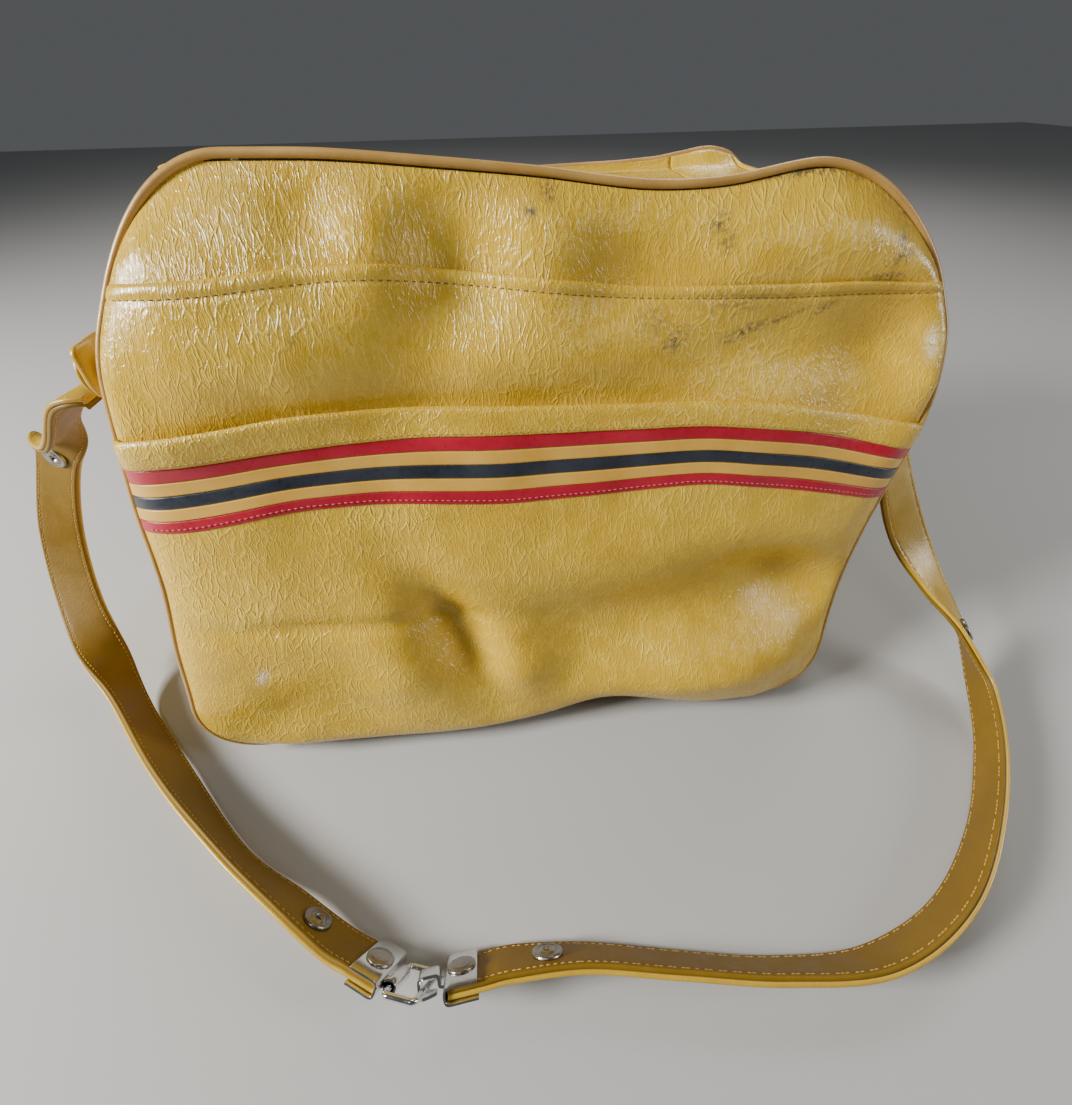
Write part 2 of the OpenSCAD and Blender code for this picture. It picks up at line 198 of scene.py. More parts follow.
def join_parts(name, parts, mat, smooth=True):
    V, F = [], []
    for v, f in parts:
        k = len(V)
        V += [tuple(x) for x in v]
        F += [tuple(i + k for i in g) for g in f]
    return mesh_obj(name, V, F, [mat], np.zeros((len(V), 2)), smooth)


def stitches(name, pts, mat, length=2.6, r=0.42, lift=0.15):
    """pts holds (position, tangent, normal), mm. One low rounded thread for each."""
    V, F, UV = [], [], []
    ring = [(math.cos(a), math.sin(a)) for a in np.linspace(0, 2 * math.pi, 6, endpoint=False)]
    for p, t, n in pts:
        p, t, n = np.asarray(p, float), np.asarray(t, float), np.asarray(n, float)
        t = t / np.linalg.norm(t)
        s = np.cross(t, n)
        s = s / np.linalg.norm(s)
        n = np.cross(s, t)
        k = len(V)
        for e, q, h in ((-0.5, 0.35, -0.25), (-0.3, 0.9, 0.1), (0, 1.0, 0.25), (0.3, 0.9, 0.1),
                        (0.5, 0.35, -0.25)):
            c = p + t * e * length + n * (lift + h * r)
            for a, b in ring:
                V.append((c + (s * a + n * b) * r * q) * MM)
                UV.append((0, 0))
        for i in range(4):
            for j in range(6):
                m = (j + 1) % 6
                F.append((k + i * 6 + j, k + i * 6 + m, k + i * 6 + 6 + m, k + i * 6 + 6 + j))
        F.append(tuple(k + j for j in range(6))[::-1])
        F.append(tuple(k + 24 + j for j in range(6)))
    return mesh_obj(name, V, F, [mat], UV)


# ---------------------------------------------------------------- materials
def nodes_of(name):
    m = bpy.data.materials.new(name)
    m.use_nodes = True
    nt = m.node_tree
    nt.nodes.clear()
    out = nt.nodes.new("ShaderNodeOutputMaterial")
    bsdf = nt.nodes.new("ShaderNodeBsdfPrincipled")
    nt.links.new(bsdf.outputs[0], out.inputs[0])
    return m, nt, bsdf


def add(nt, kind, inputs=(), **props):
    n = nt.nodes.new(kind)
    for k, v in props.items():
        setattr(n, k, v)
    for i, v in dict(inputs).items():
        if isinstance(v, bpy.types.NodeSocket):
            nt.links.new(v, n.inputs[i])
        else:
            n.inputs[i].default_value = v
    return n


def mathn(nt, op, a, b=0.0, clamp=False):
    return add(nt, "ShaderNodeMath", {0: a, 1: b}, operation=op, use_clamp=clamp).outputs[0]


def times(nt, a, b, clamp=False):
    return mathn(nt, "MULTIPLY", a, b, clamp)


def noise(nt, vector, scale, detail, rough=0.5):
    where = {"Vector": vector, "Scale": scale, "Detail": detail, "Roughness": rough}
    return add(nt, "ShaderNodeTexNoise", where).outputs[0]


def span(nt, x, a, b, c=0.0, d=1.0, kind="LINEAR"):
    """x from a..b to c..d"""
    return add(nt, "ShaderNodeMapRange", {0: x, 1: a, 2: b, 3: c, 4: d}, interpolation_type=kind).outputs[0]


def ramp(nt, fac, stops):
    r = nt.nodes.new("ShaderNodeValToRGB")
    nt.links.new(fac, r.inputs[0])
    e = r.color_ramp.elements
    while len(e) < len(stops):
        e.new(0.5)
    for k, (p, c) in enumerate(stops):
        e[k].position = p
        e[k].color = (*c, 1) if len(c) == 3 else c
    return r.outputs[0]


def mix(nt, fac, a, b):
    n = nt.nodes.new("ShaderNodeMix")
    n.data_type = "RGBA"
    for i, v in ((0, fac), (6, a), (7, b)):
        if isinstance(v, bpy.types.NodeSocket):
            nt.links.new(v, n.inputs[i])
        else:
            n.inputs[i].default_value = (*v, 1) if isinstance(v, tuple) and len(v) == 3 else v
    return n.outputs[2]


# ramp of tone over the sheet, painted highlight on the crease ridges, painted shade in the grooves between
# them, creases across the sheet, and scuffs where a mesh has them
def vinyl(name, dark, mid, light, crease=1.0, rough=(0.2, 0.36), grain=1.0, marks=False, across=(290, 96),
          bump=1.0, spec=0.5, coat=0.12):
    m, nt, b = nodes_of(name)
    uv = nt.nodes.new("ShaderNodeUVMap").outputs[0]
    warp = add(nt, "ShaderNodeTexNoise", {"Vector": uv, "Scale": 95.0, "Detail": 2.0}).outputs["Color"]
    sub = add(nt, "ShaderNodeVectorMath", {0: warp, 1: (0.5, 0.5, 0.5)}, operation="SUBTRACT").outputs[0]
    sc = add(nt, "ShaderNodeVectorMath", {0: sub, 3: 0.0052}, operation="SCALE").outputs[0]
    co = add(nt, "ShaderNodeVectorMath", {0: uv, 1: sc}, operation="ADD").outputs[0]
    m1 = add(nt, "ShaderNodeMapping", {0: co, 3: (across[0], across[1], 1)}).outputs[0]
    v1 = add(nt, "ShaderNodeTexVoronoi", {"Vector": m1, "Scale": 1.0},
             feature="DISTANCE_TO_EDGE").outputs["Distance"]
    m2 = add(nt, "ShaderNodeMapping", {0: co, 2: (0, 0, 0.35),
                                       3: (across[0] * 2.3, across[1] * 2.7, 1)}).outputs[0]
    v2 = add(nt, "ShaderNodeTexVoronoi", {"Vector": m2, "Scale": 1.0},
             feature="DISTANCE_TO_EDGE").outputs["Distance"]
    big = noise(nt, uv, 14.0, 3.0)
    mid_n = noise(nt, uv, 90.0, 4.0)
    fine = noise(nt, uv, 900.0 * grain, 4.0)
    ridge1 = span(nt, v1, 0.0, 0.12, 1.0, 0.0, "SMOOTHSTEP")
    ridge2 = span(nt, v2, 0.0, 0.16, 1.0, 0.0, "SMOOTHSTEP")
    patch = span(nt, big, 0.38, 0.62, 0.35, 1.0)
    gate = span(nt, mid_n, 0.36, 0.52, 0.12, 1.0)
    r1 = times(nt, times(nt, ridge1, gate), patch)
    r2_ = times(nt, ridge2, 0.30)
    h = mathn(nt, "ADD", times(nt, r1, crease), times(nt, r2_, crease))
    h = mathn(nt, "ADD", h, times(nt, fine, 0.10))
    h = mathn(nt, "ADD", h, times(nt, mid_n, 0.5))
    tone = mathn(nt, "ADD", times(nt, big, 0.5), times(nt, mid_n, 0.25))
    col = ramp(nt, tone, [(0.10, dark), (0.37, mid), (0.72, light)])
    # painted highlight: the crease ridges are mixed towards the light colour
    col = mix(nt, times(nt, r1, 0.22 * crease), col, light)
    # painted shade: the fine grooves off the main ridges are mixed towards the dark colour
    groove = times(nt, mathn(nt, "SUBTRACT", 1.0, ridge1, True), times(nt, ridge2, 0.10))
    col = mix(nt, groove, col, dark)
    ro = span(nt, mid_n, 0.3, 0.7, rough[0], rough[1])
    if marks:
        sc_a = add(nt, "ShaderNodeAttribute", attribute_name="scuff").outputs["Fac"]
        brk = noise(nt, uv, 420.0, 5.0, 0.7)
        k = times(nt, sc_a, span(nt, brk, 0.42, 0.58), True)
        col = mix(nt, k, col, (0.045, 0.045, 0.045))
        ch = add(nt, "ShaderNodeAttribute", attribute_name="chalk").outputs["Fac"]
        k2 = times(nt, ch, span(nt, brk, 0.40, 0.55), True)
        col = mix(nt, k2, col, (0.75, 0.72, 0.66))
        ro = mathn(nt, "ADD", ro, times(nt, k, 0.25))
    bp = add(nt, "ShaderNodeBump", {"Height": h, "Strength": 0.65 * bump, "Distance": 0.00048})
    nt.links.new(bp.outputs[0], b.inputs["Normal"])
    nt.links.new(col, b.inputs["Base Color"])
    nt.links.new(ro, b.inputs["Roughness"])
    b.inputs["Specular IOR Level"].default_value = spec
    b.inputs["Coat Weight"].default_value = coat
    b.inputs["Coat Roughness"].default_value = 0.22
    return m


def plain(name, c1, c2, rough=(0.3, 0.45), metal=0.0, scale=300.0, bump=0.15, coord="UV", dist=0.0004):
    m, nt, b = nodes_of(name)
    if coord == "UV":
        v = nt.nodes.new("ShaderNodeUVMap").outputs[0]
    else:
        v = nt.nodes.new("ShaderNodeTexCoord").outputs["Object"]
    n = noise(nt, v, scale, 4.0)
    n2 = noise(nt, v, scale / 8, 3.0)
    nt.links.new(ramp(nt, n2, [(0.3, c1), (0.7, c2)]), b.inputs["Base Color"])
    nt.links.new(span(nt, n, 0.3, 0.7, rough[0], rough[1]),
                 b.inputs["Roughness"])
    bp = add(nt, "ShaderNodeBump", {"Height": n, "Strength": bump, "Distance": dist})
    nt.links.new(bp.outputs[0], b.inputs["Normal"])
    b.inputs["Metallic"].default_value = metal
    return m


def woven(name, c1, c2, pitch=0.0008, coord="Object"):
    m, nt, b = nodes_of(name)
    v = nt.nodes.new("ShaderNodeTexCoord").outputs[coord]
    w1 = add(nt, "ShaderNodeTexWave", {"Vector": v, "Scale": 0.31 / pitch, "Distortion": 0.6},
             bands_direction="X").outputs[1]
    w2 = add(nt, "ShaderNodeTexWave", {"Vector": v, "Scale": 0.31 / pitch, "Distortion": 0.6},
             bands_direction="Y").outputs[1]
    w = times(nt, w1, w2)
    nt.links.new(ramp(nt, w, [(0.1, c1), (0.8, c2)]), b.inputs["Base Color"])
    bp = add(nt, "ShaderNodeBump", {"Height": w, "Strength": 0.5, "Distance": 0.0003})
    nt.links.new(bp.outputs[0], b.inputs["Normal"])
    b.inputs["Roughness"].default_value = 0.85
    return m


DARK, MIDC, LIGHT = (0.40, 0.235, 0.012), (0.62, 0.395, 0.030), (0.83, 0.595, 0.090)
M_VINYL = vinyl("vinyl_yellow", DARK, MIDC, LIGHT, marks=True)
M_GUSSET = vinyl("vinyl_gusset", DARK, MIDC, LIGHT, crease=0.7, across=(150, 80))
M_STRAP = vinyl("vinyl_strap", (0.34, 0.20, 0.012), (0.47, 0.29, 0.020), (0.62, 0.41, 0.045), crease=0.35,
                across=(260, 200), rough=(0.3, 0.45), bump=0.6)
# strap backing: its own darker colour, darkened further as painted shade of the bag's shadow on the loops
M_INNER_SHADED = vinyl("strap_inner_shaded", (0.12, 0.066, 0.004), (0.175, 0.10, 0.006), (0.25, 0.15, 0.014), crease=0.3,
                across=(260, 200),
                rough=(0.42, 0.56), bump=0.5, spec=0.22, coat=0.0)
M_PIPE = plain("piping_tan", (0.36, 0.20, 0.045), (0.50, 0.30, 0.085), rough=(0.28, 0.42), scale=260,
               bump=0.25)
M_RED = plain("stripe_crimson", (0.34, 0.006, 0.020), (0.43, 0.012, 0.032), rough=(0.25, 0.4), scale=350)
M_GOLD = plain("stripe_gold", (0.60, 0.33, 0.045), (0.70, 0.41, 0.075), rough=(0.28, 0.42), scale=350)
M_NAVY = plain("stripe_navy", (0.012, 0.016, 0.026), (0.03, 0.036, 0.05), rough=(0.25, 0.42), scale=350)
M_THREAD = plain("thread_brown", (0.14, 0.08, 0.022), (0.26, 0.15, 0.045), rough=(0.7, 0.9), scale=900)
M_THREAD2 = plain("thread_gold", (0.40, 0.24, 0.05), (0.52, 0.33, 0.09), rough=(0.6, 0.8), scale=900)
M_THREADR = plain("thread_pink", (0.45, 0.05, 0.07), (0.62, 0.16, 0.17), rough=(0.6, 0.8), scale=900)
M_CHROME = plain("chrome", (0.62, 0.62, 0.62), (0.80, 0.80, 0.80), rough=(0.08, 0.2), metal=1.0, scale=200,
                 bump=0.04,
                 coord="Object")
M_STUD = plain("stud_nickel", (0.22, 0.20, 0.17), (0.40, 0.37, 0.32), rough=(0.2, 0.38), metal=1.0,
               scale=300, bump=0.1,
               coord="Object")
M_ZIPM = plain("zip_metal", (0.45, 0.42, 0.36), (0.66, 0.62, 0.54), rough=(0.25, 0.4), metal=1.0, scale=300,
               bump=0.08, coord="Object")
# painted shade: near-black colour for the discs that stand for the dark inside of the stud wells
M_WELL_SHADE = plain("stud_well_shade", (0.02, 0.02, 0.02), (0.05, 0.045, 0.04), rough=(0.5, 0.7), coord="Object")
M_CLOTH = woven("cloth_backing", (0.20, 0.15, 0.09), (0.42, 0.34, 0.23), coord="UV")
M_TAPE = woven("zip_tape", (0.28, 0.18, 0.05), (0.58, 0.41, 0.15))
M_BOARD = plain("base_board", (0.10, 0.065, 0.035), (0.20, 0.14, 0.08), rough=(0.7, 0.9), scale=180, bump=0.4,
                coord="Object")
M_CRADLE = plain("cradle", (0.012, 0.012, 0.012), (0.03, 0.03, 0.03), rough=(0.45, 0.6), scale=400, bump=0.2,
                 coord="Object")

# ---------------------------------------------------------------- the bag's shape
def outline(n_side=46, n_arc=26, n_flat=60):
    """closed panel outline, from the bottom middle round by the left side: points and outward normals"""
    v0, pts, nor = 4.0, [], []
    fx, ax = HALF_W - BASE_R, HALF_W - TOP_R

    def line(p, q, n, nv):
        for t in np.linspace(0, 1, n, endpoint=False):
            pts.append((p[0] + (q[0] - p[0]) * t, p[1] + (q[1] - p[1]) * t))
            nor.append(nv)

    def arc(c, r, a0, a1, n):
        for t in np.linspace(0, 1, n, endpoint=False):
            a = math.radians(a0 + (a1 - a0) * t)
            pts.append((c[0] + r * math.cos(a), c[1] + r * math.sin(a)))
            nor.append((math.cos(a), math.sin(a)))

    line((0, v0), (-fx, v0), n_flat // 2, (0, -1))
    arc((-fx, v0 + BASE_R), BASE_R, -90, -180, n_arc)
    line((-HALF_W, v0 + BASE_R), (-HALF_W, FRONT_H - TOP_R), n_side, (-1, 0))
    arc((-ax, FRONT_H - TOP_R), TOP_R, 180, 90, n_arc + 8)
    line((-ax, FRONT_H), (ax, FRONT_H), n_flat, (0, 1))
    arc((ax, FRONT_H - TOP_R), TOP_R, 90, 0, n_arc + 8)
    line((HALF_W, FRONT_H - TOP_R), (HALF_W, v0 + BASE_R), n_side, (1, 0))
    arc((fx, v0 + BASE_R), BASE_R, 0, -90, n_arc)
    line((fx, v0), (0, v0), n_flat // 2, (0, -1))
    return np.array(pts), np.array(nor)


# how the slack front has moved from its pattern: pattern (u, v) to real (u, v) and depth w
PULLS = np.array([
    (-178.6, 282.6, -162, 293, 0), (-152.6, 299.9, -141, 310, 0), (-195.9, 256.6, -181, 266, 0),
    (-202, 226, -194, 236, 1), (-202, 200, -200, 200, 2), (-202, 170, -203, 172, 4),
                  (-202, 130, -205, 132, 7),
    (-202, 90, -211.5, 93, 10), (-202, 49, -216, 54, 12), (-188.8, 17.2, -210, 24, 11),
                  (-157, 4, -180, 10, 7),
    (-100, 4, -106, 6, 5), (-50, 4, -50, 5, 6), (0, 4, 0, 8, 2), (40, 4, 37, 15, 0), (100, 4, 97, 6, 6),
    (157, 4, 150, 4.5, 6), (188.8, 17.2, 181, 12, 2), (202, 49, 193, 42, -3), (202, 90, 196, 88, -5),
    (202, 130, 201, 128, -3), (202, 160, 204, 160, 2), (202, 190, 208, 190, 6), (202, 212, 208, 212, 7),
    (202, 226, 207, 226, 6), (195.9, 256.6, 200, 251, 3), (178.6, 282.6, 186, 274, 2),
                  (152.6, 299.9, 159, 298, 0),
    (122, 306, 124, 307, 0), (90, 306, 90, 302, 0), (50, 306, 50, 301.5, 0), (10, 306, 10, 306.5, 0),
    (-40, 306, -40, 311.5, 0), (-80, 306, -81, 315, 0), (-122, 306, -118, 316, 0),
    (0, 150, 0, 151, 2), (-100, 150, -100, 151, 3), (100, 150, 100, 150, 2), (0, 230, 0, 231, 0),
    (-120, 230, -118, 233, 0), (120, 230, 122, 229, 2), (0, 60, 0, 62, 4), (-110, 60, -114, 62, 6),
    (110, 60, 108, 60, 3)], float)


def tps(square):
    """thin plate bending term of a squared distance"""
    return 0.5 * square * np.log(np.maximum(square, 1e-9))


PIN = PULLS[:, :2]
SOFTNESS = 60
pins = len(PIN)
bend = tps(((PIN[:, None] - PIN[None]) ** 2).sum(-1)) + np.eye(pins) * SOFTNESS
plane = np.c_[np.ones(pins), PIN]
WARP = np.linalg.solve(np.block([[bend, plane], [plane.T, np.zeros((3, 3))]]),
                       np.r_[np.c_[PULLS[:, 2:4] - PIN, PULLS[:, 4]], np.zeros((3, 3))])


def pull(u, v):
    """how far the slack front has moved at a pattern point"""
    u, v = np.asarray(u, float), np.asarray(v, float)
    q = np.stack([u.ravel(), v.ravel()], 1)
    k = tps(((q[:, None] - PIN[None]) ** 2).sum(-1))
    d = k @ WARP[:pins] + np.c_[np.ones(len(q)), q] @ WARP[pins:]
    return d[:, 0].reshape(u.shape), d[:, 1].reshape(u.shape), d[:, 2].reshape(u.shape)


def to_pattern(u, v):
    """the pattern point that lies at a real one"""
    u, v = np.asarray(u, float), np.asarray(v, float)
    a, b = u.copy(), v.copy()
    for _ in range(8):
        du, dv, _ = pull(a, b)
        a, b = u - du, v - dv
    return a, b


def inside(u, v):
    """distance inside the panel outline, mm"""
    r = np.where(v > 150, TOP_R, BASE_R)
    x = np.abs(u) - (HALF_W - r)
    y = np.where(v > 150, v - (FRONT_H - r), (4 + r) - v)
    return r - np.where((x > 0) & (y > 0), np.hypot(np.maximum(x, 0), np.maximum(y, 0)), np.maximum(x, y))


def half_width(v, inset=0.0):
    hw = HALF_W - inset
    rt, rb = TOP_R - inset, BASE_R - inset
    lo, hi = 4 + inset, FRONT_H - inset
    v = np.clip(v, lo, hi)
    top = np.clip(v - (hi - rt), 0, rt)
    bot = np.clip((lo + rb) - v, 0, rb)
    return np.where(v > 150, hw - rt + np.sqrt(np.maximum(rt ** 2 - top ** 2, 0)),
                    hw - rb + np.sqrt(np.maximum(rb ** 2 - bot ** 2, 0)))


# slack hollows and swells of the front, (u, v, depth, spread u, spread v, turn)
DENTS = [(-34, 283, -9.5, 19, 23, 0), (-64, 286, 9, 15, 22, 0), (-88, 302, -6, 12, 12, 0),
         (-128, 283, 8, 30, 22, 0),
         (8, 288, 8, 20, 16, 0), (44, 268, -7, 22, 16, 0), (112, 284, 9, 40, 18, 0), (160, 292, 4, 20, 16, 0),
         (-118, 241, 9, 40, 20, 0), (-58, 236, -4, 18, 18, 0), (0, 238, 5, 34, 18, 0),
         (60, 246, 3, 30, 14, 0),
         (176, 224, -15, 24, 26, 0.4), (120, 232, -5, 34, 14, 0), (-25, 216, -4, 60, 9, 0),
         (-52, 80, -18, 13, 34, 0.4), (-26, 56, 12, 20, 26, 0), (-84, 66, 9, 22, 34, 0.3),
         (-150, 80, 4, 34, 46, 0),
         (104, 40, 17, 56, 16, 0.05), (60, 88, -8, 50, 18, 0), (156, 94, -20, 36, 17, -0.32),
         (20, 122, 5, 70, 20, 0),
         (-20, 26, -4, 22, 12, 0), (182, 40, -4, 16, 18, 0), (-105, 101, -3, 50, 4, -0.08),
         (150, 128, 6, 34, 16, -0.2)]


def full(u, v):
    """where the vinyl rolls out over its own seam: along the ground and at the upper corners"""
    low = np.clip((48 - v) / 34, 0, 1) * np.clip((180 - np.abs(u)) / 40, 0, 1)
    top = np.clip((np.abs(u) - 120) / 50, 0, 1) * np.clip((v - 185) / 30, 0, 1) * np.clip((304 - v) / 34,
            0, 1)
    k = np.maximum(low, top)
    return k * k * (3 - 2 * k)


def slack(u, v):
    w = np.zeros_like(u)
    for a, b, h, su, sv, th in DENTS:
        x, y = u - a, v - b
        p, q = x * math.cos(th) + y * math.sin(th), -x * math.sin(th) + y * math.cos(th)
        w += h * np.exp(-0.5 * ((p / su) ** 2 + (q / sv) ** 2))
    w += 1.3 * np.sin(u / 31 + v / 47) * np.sin(v / 23 - u / 60 + 1.0)
    w += 0.35 * np.sin(u / 9 + 2 * np.sin(v / 17)) * np.sin(v / 13 + u / 29)
    return w


def front(u0, v0, off=0.0, flat=False):
    """pattern point on the front to its place, mm"""
    u0, v0 = np.asarray(u0, float), np.asarray(v0, float)
    du, dv, dw = pull(u0, v0)
    u, v, w = u0 + du, v0 + dv, dw + off
    if not flat:
        d = np.maximum(inside(u0, v0), 0)
        k = full(u0, v0)
        e = 1 - np.exp(-d / (9.0 - 5.0 * k))
        w = w + e * (5.5 + 5.0 * k) + slack(u, v) * (1 - np.exp(-d / 11.0)) ** 2 - 0.9 * (1 - e)
    s, c = math.sin(LEAN), math.cos(LEAN)
    return np.stack([u, -BAG_D / 2 + v * s - w * c, v * c + w * s], -1)


OUT_F = np.array([0, -math.cos(LEAN), math.sin(LEAN)])
# how the back's top edge sags, (x, drop); some points follow the same scratch script's output
BACK_SAG = np.array([(-202, -8), (-160, -9), (-122, -7), (-60, -8), (0, -8), (30, -7), (78, -6),
                     (105, -4.5), (126, -1.5),
                     (143, 3), (157, 5), (170, 2.5), (185, 0), (202, 0)], float)


def back_sag(x, v0):
    k = np.clip((v0 - 200) / 86, 0, 1) ** 2
    s = np.interp(x, BACK_SAG[:, 0], BACK_SAG[:, 1])
    return s * k


def back(x, v0, off=0.0, flat=False):
    """back panel point, v0 on the front's pattern"""
    x, v0 = np.asarray(x, float), np.asarray(v0, float)
    v = (v0 - 4) * (BACK_H - 4) / (FRONT_H - 4) + 4
    d = np.maximum(inside(x, v0), 0)
    w = off
    if not flat:
        e = 1 - np.exp(-d / 12.0)
        w = off + e * 5.0 - 1.4 * (1 - e) + e ** 2 * (
            -6 * np.exp(-((x - 60) / 60) ** 2 - ((v - 180) / 45) ** 2)
            + 4 * np.exp(-((x + 70) / 70) ** 2 - ((v - 90) / 50) ** 2)
            - 4 * np.exp(-((x + 30) / 30) ** 2 - ((v - 240) / 25) ** 2)
            + 3 * np.sin(x / 43 + 1) * np.sin(v / 37) + 0.4 * np.sin(x / 11 + v / 19))
    v = v + back_sag(x, v0)
    s, c = math.sin(BACK), math.cos(BACK)
    return np.stack([x, BAG_D / 2 + v * s + w * c, v * c - w * s], -1)


# seam and pocket lines, as they lie on the front
def line_of(pts):
    lift = 1 - 3.5 / 253.8
    a, b = to_pattern([-26.6 + (p[0] + 26.6) * lift for p in pts],
                      [270.5 + (p[1] - 270.5) * lift for p in pts])
    k = np.argsort(a)
    a, b = a[k], b[k]
    fine = np.linspace(-206, 206, 207)
    raw = np.interp(fine, a, b)
    first = raw.copy()
    for k in range(3):
        part = first - raw if k else raw.copy()
        for _ in range(150):
            part[1:-1] = (part[:-2] + 2 * part[1:-1] + part[2:]) / 4
        raw = raw + part if k else part
    return lambda x: np.interp(x, fine, raw)


# Edges across the front, (u, v). They are the output of a scratch script that put points of the photo
# through the camera: the seam rounded, the pocket mouth and the band shifted by a few mm as well.
SEAM = line_of([(-171, 274), (-140, 274), (-98, 277), (-71, 277.5), (-36, 274), (8, 268), (40, 264.5),
                (78, 262.5),
                (127, 260.5), (196, 259)])
MOUTH = line_of([(-197, 211), (-162, 213), (-114, 218), (-67, 217), (-19, 215), (32, 213), (84, 211.5),
                 (128, 207),
                 (169, 198.5), (208, 189)])
BAND_T = line_of([(-197, 197.5), (-166, 198.5), (-118, 202), (-69, 203), (-20, 201.5), (32, 200.5),
                  (85, 199.5),
                  (142, 192), (207, 175)])
BAND_B = line_of([(-202, 164.5), (-178, 165), (-126, 171), (-75, 170), (-22, 165), (33, 165.5), (88, 167.5),
                  (149, 157.5), (201, 145)])


def region(lo, hi, nu, nv, inset, rows=None, fill=None):
    """pattern grid between two curves of u, across the whole panel"""
    b = np.linspace(0, 1, nv) if rows is None else np.asarray(rows)
    a = np.linspace(-1, 1, nu) if fill is None else fill
    A, B = np.meshgrid(a, b)
    U = A * 200
    for _ in range(12):
        V = lo(U) * (1 - B) + hi(U) * B
        U = A * half_width(V, inset)
    return U, lo(U) * (1 - B) + hi(U) * B


def ease(n, k=1.6):
    t = np.linspace(-1, 1, n)
    return 0.5 + 0.5 * np.sign(t) * (1 - (1 - np.abs(t)) ** k)


def cst(v):
    return lambda u: np.full_like(np.asarray(u, float), v)


# scuffs (u, v, spread u, spread v, turn); about half of the centres follow a scratch script's output
SCUFFS = [(146, 301, 17, 3.5, -0.1), (160, 296, 13, 5, -0.5), (172, 288, 7, 5, -0.7), (168, 276, 3, 6, 0.3),
          (169, 270, 6, 3.5, 0.4), (86, 279, 3.4, 4, 0), (82, 286, 5, 4, 0.5), (101, 242, 13, 3, 0.35),
          (120, 247, 12, 1.2, 0.35), (138, 250.5, 6, 2.4, 0.45), (0, 293, 3.5, 3, 0), (8, 300, 3, 5, 0.4),
          (55, 249, 9, 7, 0), (66, 240, 8, 4, 0.7), (92, 256, 26, 7, 0), (165, 262, 10, 2, 0),
          (-104, 250, 2, 1.2, 0), (120, 303, 25, 1.5, 0.05)]


def blots(u, v, spots):
    s = np.zeros_like(u)
    for a, b, su, sv, th in spots:
        x, y = u - a, v - b
        p, q = x * math.cos(th) + y * math.sin(th), -x * math.sin(th) + y * math.cos(th)
        s = np.maximum(s, np.exp(-((p / su) ** 2 + (q / sv) ** 2)) * (0.55 if su * sv > 50 else 0.95))
    return s


def front_piece(name, lo, hi, nu, nv, off, node, mats=None, inset=1.5, rows=None, t=1.9, lining=True):
    U, V = region(lo, hi, nu, nv, inset, rows)
    o = off(U, V) if callable(off) else off
    P = front(U, V, o)
    du, dv, _ = pull(U, V)
    at = {"scuff": blots(U + du, V + dv, SCUFFS), "chalk": blots(U + du, V + dv, [(-166, 76, 2.4, 4.5, -0.5),
          (-20, 179, 4, 1, 0), (196, 232, 2.5, 7, 0.2)])}
    ob = grid(name, P, np.stack([U, V], -1), mats or [M_VINYL, M_CLOTH], out=OUT_F, attrs=at)
    if t:
        thick(ob, t, lining)
    own(ob, node)


# depth of the layers over the pattern: panel at 0, yoke below it, pocket in front
LAP = 12.0


def fold(d, rise, width=1.0):
    """rounded turned edge: rises over a short distance from the edge"""
    return rise * np.sqrt(np.clip(1 - (1 - np.clip(d / width, 0, 1)) ** 2, 0, 1))


front_piece("front_yoke_vinyl", lambda u: SEAM(u) - LAP, cst(FRONT_H - 2.4), 230, 46,
                   lambda u, v: -2.3 * (1 - np.exp(-np.maximum(inside(u, v), 0) / 9)), "front_yoke",
            rows=np.r_[np.linspace(0, 0.9, 34), 1 - 0.1 * np.linspace(0.9, 0, 12) ** 1.5])
rows = np.r_[ease(120) * 0.94, 0.94 + np.linspace(0.006, 0.05, 12),
             1 - np.array([0.008, 0.005, 0.003, 0.0015, 0.0005, 0.0])]
front_piece("front_panel_vinyl", cst(6.4), SEAM, 230, len(rows),
                    lambda u, v: -2.0 + fold(SEAM(u) - v, 2.2, 1.3)
            + 0.7 * np.exp(-((SEAM(u) - v - 3) / 3.5) ** 2)
                    - 0.9 * np.exp(-((SEAM(u) - v - 5.6) / 0.9) ** 2), "front_panel", rows=rows)


def gape(u, v):
    """how far the pocket stands off the panel"""
    d = np.maximum(inside(u, v), 0)
    e = 1 - np.exp(-d / 14.0)
    m = np.clip(1 - (MOUTH(u) - v) / 120, 0, 1)
    wave = 1 + 0.35 * np.sin(u / 38 + 0.6)
    return 1.2 + e * (2.2 + 3.4 * m ** 2 * wave)


front_piece("front_pocket_vinyl", cst(6.0), lambda u: MOUTH(u) - 0.4, 230, 130,
                     lambda u, v: gape(u, v) + 0.6, "front_pocket", rows=ease(130, 1.4), inset=2.0, t=1.8)

# facing band folded over the mouth: profile along the slope and out from the pocket
prof = [(-13.9, 0.15), (-13.6, 0.9), (-13.0, 1.35), (-11.5, 1.6), (-8, 1.9), (-5, 2.1), (-2.5, 2.1),
        (-1.0, 1.7),
        (0.1, 0.9), (0.55, -0.1), (0.3, -1.2), (-0.6, -2.0), (-3, -2.4), (-9, -2.5), (-14, -2.5)]
ua = np.linspace(-1, 1, 260)
U = np.zeros((len(prof), len(ua)))
V = np.zeros_like(U)
W = np.zeros_like(U)
for i, (dv, dw) in enumerate(prof):
    u = ua * 198
    for _ in range(8):
        scale = (MOUTH(u) - BAND_T(u)) / 13.6
        v = MOUTH(u) + dv * (scale if dv < -1 else 1)
        u = ua * half_width(v, 2.0)
    U[i], V[i], W[i] = u, v, dw + gape(u, v) + 0.6
P = front(U, V, W)
facing = grid("pocket_facing_vinyl", P, np.stack([U, V + 400 + np.linspace(0, 20, len(prof))[:, None]],
                                                 -1), [M_VINYL], out=OUT_F)
own(facing, "pocket_facing")
thick(facing, 0.5)

